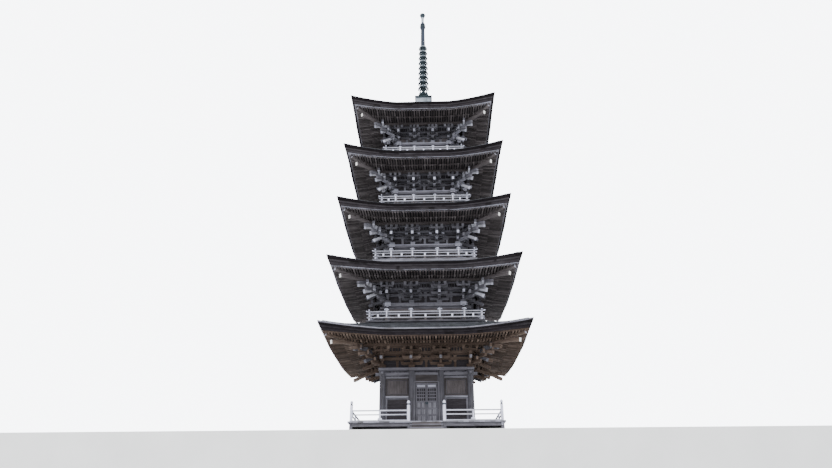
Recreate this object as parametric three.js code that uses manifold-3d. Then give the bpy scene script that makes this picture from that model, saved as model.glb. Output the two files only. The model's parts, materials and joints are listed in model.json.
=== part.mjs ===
// Five-storeyed timber pagoda with shingled roofs and a bronze spire, in millimetres, +Z up.
// The origin is at ground level under the spire. The entrance faces -Y and +X is to its right.
import * as THREE from "three";
import { mergeVertices } from "three/addons/utils/BufferGeometryUtils.js";
import Module from "manifold-3d";

const wasm = await Module();
wasm.setup();

// Driving dimensions. Lines such as columnLine are half-widths, measured from the centre of the tower.
const totalHeight = 24110;
const restGap = 0.3; // between pieces that rest on a sloping, lifted or cut face
const storeys = [
  { columnLine: 1780, doorColumn: 593, columnRadius: 125, plateTop: 2840 },
  { columnLine: 1620, doorColumn: 600, columnRadius: 100, plateTop: 5670 },
  { columnLine: 1480, doorColumn: 545, columnRadius: 95, plateTop: 8500 },
  { columnLine: 1350, doorColumn: 490, columnRadius: 90, plateTop: 11350 },
  { columnLine: 1230, doorColumn: 450, columnRadius: 85, plateTop: 14160 },
];
const eaveSizes = [
  { eaveLine: 4110, eaveTop: 3840, cornerLift: 330 },
  { eaveLine: 3930, eaveTop: 6660, cornerLift: 330 },
  { eaveLine: 3700, eaveTop: 9460, cornerLift: 370 },
  { eaveLine: 3520, eaveTop: 12250, cornerLift: 390 },
  { eaveLine: 3380, eaveTop: 15040, cornerLift: 430 },
];
storeys.forEach((storey, index) => Object.assign(storey, eaveSizes[index]));
const balconies = [
  { storey: 1, floorTop: 4690, railLine: 2340, railHeight: 390 },
  { storey: 2, floorTop: 7520, railLine: 2170, railHeight: 380 },
  { storey: 3, floorTop: 10370, railLine: 1970, railHeight: 370 },
  { storey: 4, floorTop: 13110, railLine: 1820, railHeight: 360 },
];

// Base and veranda
const stoneBaseHalf = 3250;
const stoneBaseTop = 160;
const deckTop = 600;
const deckThickness = 60;
const deckHalf = 2980;
const verandaRailLine = 2860;
const entranceHalf = 680;

// Eaves: flying rafters from the edge to the rafter step, base rafters from there to the wall
const eaveEdgeDepth = 290;
const roofEdgeDepth = 70;
const eaveSetback = 50;
const flyingSlope = 0.12;
const baseSlope = 0.24;
const rafterStep = 0.62; // share of the overhang at which the base rafters end
const baseRafterDrop = 100;
const rafterLayer = 110;
const levelShare = 0.35; // the eaves are level in the middle of each side and rise from there
const liftPower = 1.35;
const liftAtStep = 0.32; // share of the corner lift that is reached at the rafter step
const roofShell = 120;
const hipCrest = 60; // height of the hips above the shingles
const roofRim = 60; // width of the level rim that the balcony floor or the dew basin stands on

// Balconies
const balconySlab = 70;
const balconyEdge = 130; // from the railing to the edge of the floor
const groundRailGap = 95; // under the lowest rail

// Brackets: three steps out from the wall under each eave
const bracketStep = 0.115; // share of the overhang
const purlinDepth = 130;
const bearingBlock = 130;
const noseShare = 0.13; // share of the overhang by which the tail rafters pass the purlin

// Spire
const basinBottom = 17060;
const basinTop = 17760;
const ringCount = 9;
const lowestRing = 18630;
const highestRing = 21460;

const materials = {
  paleTimber: new THREE.MeshStandardMaterial({ color: 0x8d8986, roughness: 0.85, metalness: 0 }),
  greyTimber: new THREE.MeshStandardMaterial({ color: 0x6a6462, roughness: 0.85, metalness: 0 }),
  brownTimber: new THREE.MeshStandardMaterial({ color: 0x4c403a, roughness: 0.88, metalness: 0 }),
  shingle: new THREE.MeshStandardMaterial({ color: 0x5a5d68, roughness: 0.85, metalness: 0 }),
  bronze: new THREE.MeshStandardMaterial({ color: 0x4c6863, roughness: 0.6, metalness: 0.7 }),
  stone: new THREE.MeshStandardMaterial({ color: 0x8a8878, roughness: 0.95, metalness: 0 }),
};

const pagoda = new THREE.Group();

// Solids: closed geometries are joined and cut as manifolds, and come back as geometries.
function solidOf(geometry) {
  const bare = new THREE.BufferGeometry();
  bare.setAttribute("position", geometry.getAttribute("position").clone());
  bare.setIndex(geometry.index ? geometry.index.clone() : null);
  const merged = mergeVertices(bare, 1e-3);
  const solid = new wasm.Manifold(
    new wasm.Mesh({
      numProp: 3,
      vertProperties: merged.attributes.position.array,
      triVerts: new Uint32Array(merged.index.array),
    }),
  );
  return solid;
}

function joined(geometries) {
  return geometries.map(solidOf).reduce((whole, piece) => whole.add(piece));
}

function cut(solid, geometries) {
  return geometries.map(solidOf).reduce((whole, piece) => whole.subtract(piece), solid);
}

function geometryOf(solid) {
  const mesh = solid.getMesh();
  const geometry = new THREE.BufferGeometry();
  geometry.setAttribute("position", new THREE.BufferAttribute(mesh.vertProperties, 3));
  geometry.setIndex(new THREE.BufferAttribute(mesh.triVerts, 1));
  const flat = geometry.toNonIndexed();
  flat.computeVertexNormals();
  return flat;
}

function addNode(name, shape, material) {
  const mesh = new THREE.Mesh(shape.isBufferGeometry ? shape : geometryOf(shape), material);
  mesh.name = name;
  pagoda.add(mesh);
  return mesh;
}

// Plain shapes
function box(x, y, z) {
  const geometry = new THREE.BoxGeometry(x[1] - x[0], y[1] - y[0], z[1] - z[0]);
  return geometry.translate((x[0] + x[1]) / 2, (y[0] + y[1]) / 2, (z[0] + z[1]) / 2);
}

function post(radius, x, y, z, sides = 12) {
  const geometry = new THREE.CylinderGeometry(radius, radius, z[1] - z[0], sides);
  return geometry.rotateX(Math.PI / 2).translate(x, y, (z[0] + z[1]) / 2);
}

// A closed profile of [radius, height] points turned about the tower's axis.
function turned(profile, sides) {
  const points = profile.map(([radius, height]) => new THREE.Vector2(radius, height));
  return new THREE.LatheGeometry(points, sides).rotateX(Math.PI / 2);
}

// A closed profile of [half-width, height] points carried round the square tower. Breaks are the places
// along one side, as shares of its half-length, and lift(half-width, share) raises the corners.
function squareSweep(profile, breaks = [-1], lift = () => 0) {
  const positions = [];
  const triangles = [];
  const perSide = breaks.length;
  const rings = 4 * perSide;
  const count = profile.length;
  for (let side = 0; side < 4; side += 1) {
    const turn = (side * Math.PI) / 2;
    const [c, s] = [Math.round(Math.cos(turn)), Math.round(Math.sin(turn))];
    for (const share of breaks) {
      for (const [half, height] of profile) {
        const [x, y] = [share * half, -half];
        positions.push(c * x - s * y, s * x + c * y, height + lift(half, Math.abs(share)));
      }
    }
  }
  // Each quad is split from its lower, inner corner to its higher, outer one, so that surfaces that lie
  // on each other fold alike.
  for (let ring = 0; ring < rings; ring += 1) {
    const next = (ring + 1) % rings;
    const nearsCorner = Math.abs(breaks[next % perSide]) > Math.abs(breaks[ring % perSide]);
    for (let p = 0; p < count; p += 1) {
      const q = (p + 1) % count;
      const outwards = profile[q][0] > profile[p][0];
      const [a, b, d, e] = [ring * count + p, ring * count + q, next * count + q, next * count + p];
      if (outwards === nearsCorner) triangles.push(a, b, d, a, d, e);
      else triangles.push(a, b, e, b, d, e);
    }
  }
  const geometry = new THREE.BufferGeometry();
  geometry.setAttribute("position", new THREE.Float32BufferAttribute(positions, 3));
  geometry.setIndex(triangles);
  return geometry;
}

// A square ring beam between two half-widths.
function ringBeam(inner, outer, z) {
  return squareSweep([
    [inner, z[0]],
    [inner, z[1]],
    [outer, z[1]],
    [outer, z[0]],
  ]);
}

// A plate that stands in a vertical plane through the tower's axis. Its outline is a list of
// [distance from the axis, height] points, and turn is the direction it points in.
function uprightPlate(outline, thickness, turn) {
  const shape = new THREE.Shape(outline.map(([distance, height]) => new THREE.Vector2(distance, height)));
  return new THREE.ExtrudeGeometry(shape, { depth: thickness, bevelEnabled: false })
    .rotateX(Math.PI / 2)
    .translate(0, thickness / 2, 0)
    .rotateZ(turn);
}

const towardsFront = -Math.PI / 2;
const towardsCorner = -Math.PI / 4;
const onDiagonal = ([half, height]) => [half * Math.SQRT2, height];

const quarterTurns = [0, 1, 2, 3].map((side) => (side * Math.PI) / 2);

function onFourSides(geometries) {
  return geometries.flatMap((geometry) => quarterTurns.map((turn) => geometry.clone().rotateZ(turn)));
}

// The twelve columns of a storey stand on the column line, at the corners and beside the door bays.
function columnPlaces({ columnLine, doorColumn }) {
  const front = [-columnLine, -doorColumn, doorColumn].map((x) => [x, -columnLine]);
  return quarterTurns.flatMap((turn) => {
    const [c, s] = [Math.round(Math.cos(turn)), Math.round(Math.sin(turn))];
    return front.map(([x, y]) => [c * x - s * y, s * x + c * y]);
  });
}

const sideBreaks = [-1, -0.68, -0.35, 0.35, 0.68]; // shares of a side at which the lift is worked out

// Levels under one eave, worked out from its edge inwards
function eaveLevels(storey) {
  const overhang = storey.eaveLine - storey.columnLine;
  const step = bracketStep * overhang;
  const purlinLine = storey.columnLine + 3 * step;
  const stepLine = storey.columnLine + rafterStep * overhang;
  const edgeBottom = storey.eaveTop - eaveEdgeDepth;
  const edgeLine = storey.eaveLine - eaveSetback;
  const flyingRoot = edgeBottom + flyingSlope * (edgeLine - stepLine);
  const baseTip = flyingRoot - baseRafterDrop;
  const under = (half) => baseTip + baseSlope * (stepLine - half);
  const lift = (half, share) => {
    const rise = Math.max(0, (share - levelShare) / (1 - levelShare)) ** liftPower;
    const inner = Math.max(0, (half - purlinLine) / (stepLine - purlinLine)) * liftAtStep;
    const outer = liftAtStep + ((half - stepLine) / (storey.eaveLine - stepLine)) * (1 - liftAtStep);
    return storey.cornerLift * rise * (half < stepLine ? inner : outer);
  };
  return { overhang, step, purlinLine, stepLine, edgeBottom, edgeLine, flyingRoot, baseTip, under, lift };
}

// Height at which the body above stands on the inner part of an eave layer
const bodySeat = storeys.map((storey) => {
  const wallLevel = eaveLevels(storey).under(storey.columnLine);
  return Math.ceil(wallLevel / 10) * 10 + rafterLayer + 10;
});

// Stone base, veranda and steps
function addBase() {
  const { stone, greyTimber, paleTimber } = materials;
  const chamfer = 25;
  const base = squareSweep([
    [0, 0],
    [0, stoneBaseTop],
    [stoneBaseHalf - chamfer, stoneBaseTop],
    [stoneBaseHalf, stoneBaseTop - chamfer],
    [stoneBaseHalf, 0],
  ]);
  addNode("stone_base", joined([base]), stone);

  const beamTop = deckTop - deckThickness;
  const beamDepth = 130;
  const beamHalf = 55;
  const supportHalf = 60;
  const supportY = [-verandaRailLine - supportHalf, -verandaRailLine + supportHalf];
  const supportZ = [stoneBaseTop, beamTop - beamDepth / 2];
  const supports = [-verandaRailLine, -entranceHalf, entranceHalf].map((x) =>
    box([x - supportHalf, x + supportHalf], supportY, supportZ),
  );
  const beamZ = [beamTop - beamDepth, beamTop];
  const beam = ringBeam(verandaRailLine - beamHalf, verandaRailLine + beamHalf, beamZ);
  addNode("veranda_frame", joined([beam, ...onFourSides(supports)]), greyTimber);

  const deckInner = storeys[0].columnLine + storeys[0].columnRadius + 5;
  addNode("veranda_floor", joined([ringBeam(deckInner, deckHalf, [beamTop, deckTop])]), paleTimber);

  const treadDepth = 280;
  const rise = deckTop / 4;
  const boardThickness = 50;
  const stairTop = -deckHalf - restGap;
  const treadHalf = entranceHalf - 60;
  const treads = [3, 2, 1].map((level) => {
    const back = stairTop - (3 - level) * treadDepth;
    const z = [level * rise - boardThickness, level * rise];
    return box([-treadHalf, treadHalf], [back - treadDepth, back], z);
  });
  const under = boardThickness / 2;
  const foot = stairTop - 3 * treadDepth;
  const stringer = [
    [stairTop, stoneBaseTop],
    [stairTop, 3 * rise - under],
    [stairTop - treadDepth + 20, 3 * rise - under],
    [stairTop - treadDepth + 20, 2 * rise - under],
    [stairTop - 2 * treadDepth + 20, 2 * rise - under],
    [stairTop - 2 * treadDepth + 20, rise - under],
    [foot + 20, rise - under],
    [foot + 20, 0],
    [-stoneBaseHalf - restGap, 0],
    [-stoneBaseHalf - restGap, stoneBaseTop],
  ].map(([y, z]) => [-y, z]);
  const stringers = [50 - treadHalf, treadHalf - 50].map((x) =>
    uprightPlate(stringer, 60, towardsFront).translate(x, 0, 0),
  );
  addNode("entrance_steps", joined([...treads, ...stringers]), greyTimber);
}

// The low railing round the veranda is open in front of the door. Its ends and corners have capped posts.
function addVerandaRailing() {
  const rails = [
    { z: [deckTop, deckTop + 60], half: 40 },
    { z: [deckTop + 205, deckTop + 260], half: 28 },
    { z: [deckTop + 355, deckTop + 415], half: 32 },
  ];
  // Seen from above, each rail runs from one end post round the back to the other.
  const bars = rails.map(({ z, half }) => {
    const outline = new THREE.Shape();
    const [outer, inner] = [verandaRailLine + half, verandaRailLine - half];
    outline.moveTo(-entranceHalf, -outer).lineTo(-entranceHalf, -inner).lineTo(-inner, -inner);
    outline.lineTo(-inner, inner).lineTo(inner, inner).lineTo(inner, -inner).lineTo(entranceHalf, -inner);
    outline.lineTo(entranceHalf, -outer).lineTo(outer, -outer).lineTo(outer, outer);
    outline.lineTo(-outer, outer).lineTo(-outer, -outer);
    const bar = new THREE.ExtrudeGeometry(outline, { depth: z[1] - z[0], bevelEnabled: false });
    return bar.translate(0, 0, z[0]);
  });
  const cap = [
    [0, deckTop],
    [62, deckTop],
    [62, deckTop + 610],
    [44, deckTop + 650],
    [70, deckTop + 705],
    [0, deckTop + 780],
  ];
  const line = verandaRailLine;
  const places = [
    [-line, -line],
    [line, -line],
    [line, line],
    [-line, line],
    [-entranceHalf, -line],
    [entranceHalf, -line],
  ];
  const posts = places.map(([x, y]) => turned(cap, 6).translate(x, y, 0));
  const middle = (entranceHalf + line) / 2;
  const struts = [
    [-middle, -line],
    [middle, -line],
    [0, line],
    [-line, 0],
    [line, 0],
  ].map(([x, y]) => box([x - 24, x + 24], [y - 24, y + 24], [deckTop + 30, deckTop + 385]));
  addNode("veranda_railing", joined([...bars, ...posts, ...struts]), materials.paleTimber);
}

// Ground storey: timber frame, plank walls, floor, ceiling and the entrance doors
const wallOuter = 1740;
const wallInner = 1610;
const floorTop = deckTop + 10;
const floorThickness = 70;
const floorRise = 5; // of the clear floor above the strip that the walls stand on
const sillTop = 690;
const sillBottom = 440;
const waistRail = [1600, 1690];
const headRail = [2360, 2470];
const tieBeam = [2540, 2660];
const plateBottom = 2730;
const plateInner = 1680;
const jambInner = 440;
const doorTop = 2230;
const doorFace = 1860;

const columnSides = 8;
const pinClearance = 0.7; // in radius, so that the faceted pins turn freely in their faceted holes
const leaf = { bottom: 695, top: 2225, thickness: 45, face: -1850, half: 428, meeting: 4, pinRadius: 11 };
leaf.pivotX = leaf.half - 16;
leaf.pivotY = leaf.face + 16;

function addGroundStorey() {
  const { greyTimber, brownTimber } = materials;
  const storey = storeys[0];
  const { columnLine, doorColumn, columnRadius } = storey;
  const faceLine = columnLine + columnRadius + 5;
  const beamInner = wallOuter + restGap;
  const places = columnPlaces(storey);
  const columnZ = [stoneBaseTop, plateBottom + 20];
  const columns = places.map(([x, y]) => post(columnRadius, x, y, columnZ, columnSides));
  const sill = squareSweep([
    [1650, sillBottom],
    [1650, floorTop - floorThickness],
    [beamInner, floorTop - floorThickness],
    [beamInner, sillTop],
    [faceLine, sillTop],
    [faceLine, sillBottom],
  ]);
  const tieEnd = columnLine + columnRadius + 170;
  const tie = box([-tieEnd, tieEnd], [-columnLine - 45, -beamInner], tieBeam);
  const casing = [-doorFace, -beamInner];
  const jambs = [[-doorColumn, -jambInner], [jambInner, doorColumn]].map((x) =>
    box(x, casing, [sillTop - 10, tieBeam[0] + 10]),
  );
  const lintel = box([-jambInner - 10, jambInner + 10], casing, [doorTop, tieBeam[0] + 10]);
  const frame = joined([
    sill,
    ringBeam(plateInner, columnLine + columnRadius + 45, [plateBottom, storey.plateTop]),
    ...onFourSides([tie]),
    ...columns,
    ...jambs,
    lintel,
  ]);
  const pinHoles = [-1, 1].flatMap((side) =>
    [
      [leaf.bottom - 30, leaf.bottom],
      [leaf.top, leaf.top + 30],
    ].map((z) => post(leaf.pinRadius + pinClearance, side * leaf.pivotX, leaf.pivotY, z)),
  );
  addNode("storey_1_frame", cut(frame, pinHoles), greyTimber);

  // The plank walls stand between the columns. Rails and shutters stand proud of them in the outer bays,
  // and closed doors in the middle bay of the sides and the back.
  const wallZ = [floorTop, plateBottom];
  const outwards = [-wallOuter - 45, -wallOuter];
  const near = doorColumn + columnRadius + 30;
  const far = columnLine - columnRadius - 30;
  const bay = (side) => (side < 0 ? [-far, -near] : [near, far]);
  const outerBay = (side) => [
    box([bay(side)[0] - 20, bay(side)[1] + 20], [-wallOuter - 70, -wallOuter], waistRail),
    box([bay(side)[0] - 20, bay(side)[1] + 20], [-wallOuter - 70, -wallOuter], headRail),
    box(bay(side), outwards, [waistRail[1] + 60, headRail[0] - 60]),
  ];
  const closedDoor = [
    box([-jambInner, -8], outwards, [sillTop + 5, doorTop]),
    box([8, jambInner], outwards, [sillTop + 5, doorTop]),
  ];
  const cutZ = [0, storey.plateTop];
  const columnCuts = places.map(([x, y]) => post(columnRadius + restGap, x, y, cutZ, columnSides));
  const wallOn = (turn, length) => {
    const wall = box([-length, length], [-wallOuter, -wallInner], wallZ);
    const pieces = [wall, ...outerBay(-1), ...outerBay(1), ...closedDoor.map((door) => door.clone())];
    return cut(joined(pieces.map((piece) => piece.rotateZ(turn))), columnCuts);
  };
  addNode("right_wall", wallOn(Math.PI / 2, wallOuter), brownTimber);
  addNode("left_wall", wallOn(-Math.PI / 2, wallOuter), brownTimber);
  addNode("back_wall", wallOn(Math.PI, wallInner), brownTimber);
  const frontPart = (side) => {
    const length = side < 0 ? [-wallInner, -jambInner] : [jambInner, wallInner];
    return cut(joined([box(length, [-wallOuter, -wallInner], wallZ), ...outerBay(side)]), columnCuts);
  };
  addNode("front_wall_left", frontPart(-1), brownTimber);
  addNode("front_wall_right", frontPart(1), brownTimber);
  const head = box([-jambInner, jambInner], [-wallOuter, -wallInner], [doorTop, plateBottom]);
  addNode("front_wall_head", head, brownTimber);

  // The clear floor stands a little above the strip under the walls.
  const clearHalf = wallInner - 10;
  const floor = squareSweep([
    [0, floorTop - floorThickness],
    [0, floorTop + floorRise],
    [clearHalf, floorTop + floorRise],
    [clearHalf, floorTop],
    [wallOuter, floorTop],
    [wallOuter, floorTop - floorThickness],
  ]);
  addNode("room_floor", cut(joined([floor]), columnCuts), greyTimber);
  const half = columnLine - columnRadius - 5;
  addNode("room_ceiling", box([-half, half], [-half, half], [plateBottom, plateBottom + 40]), brownTimber);
}

// Each door leaf hangs on round pins that turn in the sill and the lintel. It has three sunk panels.
function addDoors() {
  const { bottom, top, thickness, face, half, meeting, pinRadius, pivotX, pivotY } = leaf;
  const sunk = 14;
  const panelRows = [
    [bottom + 90, bottom + 420],
    [bottom + 500, bottom + 830],
    [bottom + 910, top - 110],
  ];
  for (const [name, side] of [["left_door", -1], ["right_door", 1]]) {
    const span = (near, far) => (side < 0 ? [-far, -near] : [near, far]);
    const board = box(span(meeting, half), [face, face + thickness], [bottom, top]);
    const pins = [
      [bottom - 30 + restGap, bottom + 20],
      [top - 20, top + 30 - restGap],
    ].map((z) => post(pinRadius, side * pivotX, pivotY, z));
    const panels = panelRows.map((z) => box(span(meeting + 60, half - 70), [face - 1, face + sunk], z));
    addNode(name, cut(joined([board, ...pins]), panels), materials.brownTimber);
  }
}

// Upper storeys: a low body of columns and planks that stands inside the roof below
function addUpperBody(storey, number) {
  const { columnLine, columnRadius, plateTop } = storey;
  const seat = bodySeat[number - 2];
  const plateDepth = 100;
  const plateEnd = columnLine + columnRadius + 130;
  const plateHalf = columnRadius + 35;
  const bodyZ = [seat, plateTop - plateDepth + 20];
  const columns = columnPlaces(storey).map(([x, y]) => post(columnRadius, x, y, bodyZ, 6));
  const plateY = [-columnLine - plateHalf, -columnLine + plateHalf];
  const plate = box([-plateEnd, plateEnd], plateY, [plateTop - plateDepth, plateTop]);
  const body = joined([
    ringBeam(columnLine - columnRadius - 20, columnLine + 15, bodyZ),
    ...onFourSides([plate]),
    ...columns,
  ]);
  addNode(`storey_${number}_body`, body, materials.greyTimber);
}

// A balcony floor rests on the rim of the roof below. Three crossed rails on short posts run round it.
function addBalcony({ storey: index, floorTop: top, railLine, railHeight }) {
  const number = index + 1;
  const { columnLine, columnRadius, doorColumn } = storeys[index];
  const skirt = 120;
  const floor = squareSweep([
    [columnLine + columnRadius + 5, top - balconySlab - skirt],
    [columnLine + columnRadius + 5, top],
    [railLine + balconyEdge, top],
    [railLine + balconyEdge, top - balconySlab],
    [railLine - 70, top - balconySlab],
    [railLine - 70, top - balconySlab - skirt],
  ]);
  addNode(`storey_${number}_balcony`, joined([floor]), materials.paleTimber);

  const railEnd = railLine + 115;
  const crossed = (half, z) => {
    const y = [-railLine - half, -railLine + half];
    return onFourSides([box([-railEnd, railEnd], y, z)]);
  };
  const postHalf = 30;
  const posts = [-railLine, -columnLine, -doorColumn, doorColumn, columnLine].map((x) => {
    const y = [-railLine - postHalf, -railLine + postHalf];
    return box([x - postHalf, x + postHalf], y, [top, top + railHeight - 30]);
  });
  const railing = joined([
    ringBeam(railLine - 38, railLine + 38, [top + groundRailGap, top + groundRailGap + 60]),
    ringBeam(railLine - 22, railLine + 22, [top + railHeight - 165, top + railHeight - 120]),
    ...crossed(35, [top + railHeight - 60, top + railHeight]),
    ...onFourSides(posts),
  ]);
  addNode(`storey_${number}_railing`, railing, materials.paleTimber);
}

// Three-stepped brackets over every column, on a wall course. Their ends carry the eave purlins.
function addBrackets(storey, number) {
  const { columnLine, doorColumn, plateTop } = storey;
  const { step, purlinLine, under, overhang } = eaveLevels(storey);
  const purlinHalf = 55;
  const purlinTop = under(purlinLine + purlinHalf) - restGap;
  const purlinBottom = purlinTop - purlinDepth;
  const tier = (purlinBottom - plateTop - bearingBlock) / 3;
  const level = (course) => plateTop + bearingBlock + (course - 1) * tier;
  const reach = purlinLine + noseShare * overhang;
  const noseBottom = level(3) + 0.35 * tier;
  const noseTop = level(3) + 0.6 * tier + 45;
  const outline = [
    [columnLine - 20, plateTop],
    [columnLine + 95, plateTop],
    [columnLine + step + 70, level(1)],
    [columnLine + step + 70, level(2)],
    [columnLine + 2 * step + 70, level(2)],
    [columnLine + 2 * step + 70, level(3)],
    [reach, noseBottom],
    [reach, noseTop],
    [purlinLine + purlinHalf, purlinBottom],
    [columnLine - 20, purlinBottom],
  ];
  // The top storey has closer sets, with one more in the middle of each side.
  const extra = number === 5 ? [0] : [];
  const sets = [-doorColumn, doorColumn, ...extra].map((x) =>
    uprightPlate(outline, 84, towardsFront).translate(x, 0, 0),
  );
  const wallTop = under(columnLine + 45) - restGap;
  const brackets = joined([
    ringBeam(columnLine - 45, columnLine + 45, [plateTop, wallTop]),
    ...onFourSides(sets),
    ...onFourSides([uprightPlate(outline.map(onDiagonal), 110, towardsCorner)]),
  ]);
  addNode(`storey_${number}_brackets`, brackets, materials.paleTimber);
  const purlins = ringBeam(purlinLine - purlinHalf, purlinLine + purlinHalf, [purlinBottom, purlinTop]);
  addNode(`storey_${number}_purlins`, joined([purlins]), materials.paleTimber);
}

// The rafter layer: base rafters, then flying rafters that rise to the corners, and the hip rafters
function addEaves(storey, number) {
  const levels = eaveLevels(storey);
  const { stepLine, edgeBottom, edgeLine, flyingRoot, baseTip, under, lift } = levels;
  const seat = bodySeat[number - 1];
  const next = storeys[number];
  const innerLine = next ? next.columnLine - 150 : storey.columnLine - 300;
  const seatEdge = storey.columnLine - 60;
  const tipTop = storey.eaveTop - roofEdgeDepth - restGap;
  const layer = squareSweep(
    [
      [innerLine, under(storey.columnLine - 60)],
      [innerLine, seat],
      [seatEdge, seat],
      [levels.purlinLine, under(levels.purlinLine) + rafterLayer],
      [stepLine, flyingRoot + rafterLayer],
      [edgeLine, tipTop],
      [edgeLine, edgeBottom],
      [stepLine, flyingRoot],
      [stepLine, baseTip],
      [storey.columnLine - 60, under(storey.columnLine - 60)],
    ],
    sideBreaks,
    lift,
  );
  const hipTip = storey.eaveLine - 110;
  const hipDrop = 120;
  const sideLevel = (half) => (half > stepLine ? edgeBottom + flyingSlope * (edgeLine - half) : under(half));
  const hipLevel = (half) => sideLevel(half) + lift(half, 1);
  const corners = [levels.purlinLine + 62, stepLine, (stepLine + hipTip) / 2, hipTip];
  const bottom = corners.map((half) => [half, hipLevel(half) - hipDrop]);
  const top = corners.map((half) => [half, hipLevel(half) + 30]).reverse();
  const hip = uprightPlate([...bottom, ...top].map(onDiagonal), 130, towardsCorner);
  addNode(`storey_${number}_eaves`, joined([layer, ...onFourSides([hip])]), materials.brownTimber);
}

// The shingled roof rises from the eave edge to the balcony above it, or to the dew basin, in a concave
// curve, with a low crest down each hip. Its underside rests on the rafter layer.
function addRoof(storey, number) {
  const { eaveLine, eaveTop } = storey;
  const { lift, stepLine } = eaveLevels(storey);
  const balcony = balconies[number - 1];
  const innerLine = balcony ? balcony.railLine - 50 : 380;
  const innerTop = balcony ? balcony.floorTop - balconySlab : basinBottom;
  const rimLine = innerLine + roofRim;
  const depth = balcony ? roofShell : 1.6 * roofShell;
  const sag = balcony ? 0.05 : 0.12; // depth of the concave curve, as a share of the rise
  const run = eaveLine - rimLine;
  const rise = innerTop - eaveTop;
  const surface = (half) => {
    const along = (eaveLine - half) / run;
    return eaveTop + rise * along - 4 * sag * rise * along * (1 - along);
  };
  const stations = balcony ? [0.65, 0.3] : [0.75, 0.48, 0.22];
  const shingles = squareSweep(
    [
      [innerLine, innerTop - depth],
      [innerLine, innerTop],
      [rimLine, innerTop],
      ...stations.map((share) => eaveLine - share * run).map((half) => [half, surface(half)]),
      [eaveLine, eaveTop],
      [eaveLine, eaveTop - roofEdgeDepth],
      [stepLine, eaveTop - roofEdgeDepth],
    ],
    sideBreaks,
    lift,
  );

  const ridgeStart = balcony ? rimLine : rimLine + 50;
  const ridgeEnd = eaveLine - 330;
  const places = [0, 0.3, 0.7, 1].map((share) => ridgeStart + share * (ridgeEnd - ridgeStart));
  const surfaceAt = (half) => surface(half) + lift(half, 1);
  const crestAt = (half) => (balcony && half === rimLine ? innerTop - restGap : surfaceAt(half) + hipCrest);
  const ridge = [
    ...places.map((half) => [half, surfaceAt(half) - 60]),
    ...places.map((half) => [half, crestAt(half)]).reverse(),
  ];
  const hips = onFourSides([uprightPlate(ridge.map(onDiagonal), 200, towardsCorner)]);
  addNode(`storey_${number}_roof`, joined([shingles, ...hips]), materials.shingle);
}

// Spire: dew basin, inverted bowl with its lotus, the mast with nine rings, and the jewel on top
function addSpire() {
  const { bronze } = materials;
  const basin = squareSweep([
    [0, basinBottom],
    [0, basinTop],
    [455, basinTop],
    [455, basinTop - 70],
    [405, basinTop - 100],
    [405, basinBottom + 130],
    [470, basinBottom + 90],
    [470, basinBottom],
  ]);
  addNode("dew_basin", joined([basin]), bronze);

  const bowl = turned(
    [
      [0, basinTop],
      [300, basinTop],
      [300, basinTop + 60],
      [270, basinTop + 150],
      [190, basinTop + 220],
      [130, basinTop + 250],
      [210, basinTop + 330],
      [330, basinTop + 420],
      [330, basinTop + 450],
      [0, basinTop + 450],
    ],
    16,
  );
  addNode("lotus_bowl", joined([bowl]), bronze);

  const mastBottom = basinTop + 450;
  const hubRadius = 105;
  const shaft = turned(
    [
      [0, mastBottom],
      [hubRadius, mastBottom],
      [hubRadius, highestRing + 110],
      [98, highestRing + 110],
      [82, 22940],
      [100, 22980],
      [138, 23090],
      [138, 23190],
      [92, 23270],
      [68, 23330],
      [82, 23560],
      [72, 23760],
      [90, 23850],
      [0, 23850],
    ],
    8,
  );
  const rings = Array.from({ length: ringCount }, (_, index) => {
    const share = index / (ringCount - 1);
    const z = lowestRing + share * (highestRing - lowestRing);
    const radius = 300 - 52 * share;
    const band = turned(
      [
        [radius - 34, z - 38],
        [radius, z - 38],
        [radius, z + 38],
        [radius - 34, z + 38],
        [radius - 34, z - 38],
      ],
      8,
    );
    const spoke = new THREE.BoxGeometry(2 * radius - 20, 44, 40);
    return [band, spoke.rotateZ((index * Math.PI) / 2 + Math.PI / 4).translate(0, 0, z)];
  });
  addNode("ringed_mast", joined([shaft, ...rings.flat()]), bronze);

  const jewel = turned(
    [
      [0, 23850],
      [70, 23850],
      [122, 23895],
      [136, 23950],
      [118, 24010],
      [60, 24065],
      [0, totalHeight],
    ],
    12,
  );
  addNode("jewel", joined([jewel]), bronze);
}

addBase();
addVerandaRailing();
addGroundStorey();
addDoors();
storeys.forEach((storey, index) => {
  const number = index + 1;
  if (number > 1) addUpperBody(storey, number);
  addBrackets(storey, number);
  addEaves(storey, number);
  addRoof(storey, number);
});
balconies.forEach(addBalcony);
addSpire();

export default pagoda;
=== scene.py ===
import json
import math
import random

import bmesh
import bpy
import numpy as np
from mathutils import Matrix, Vector

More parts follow.
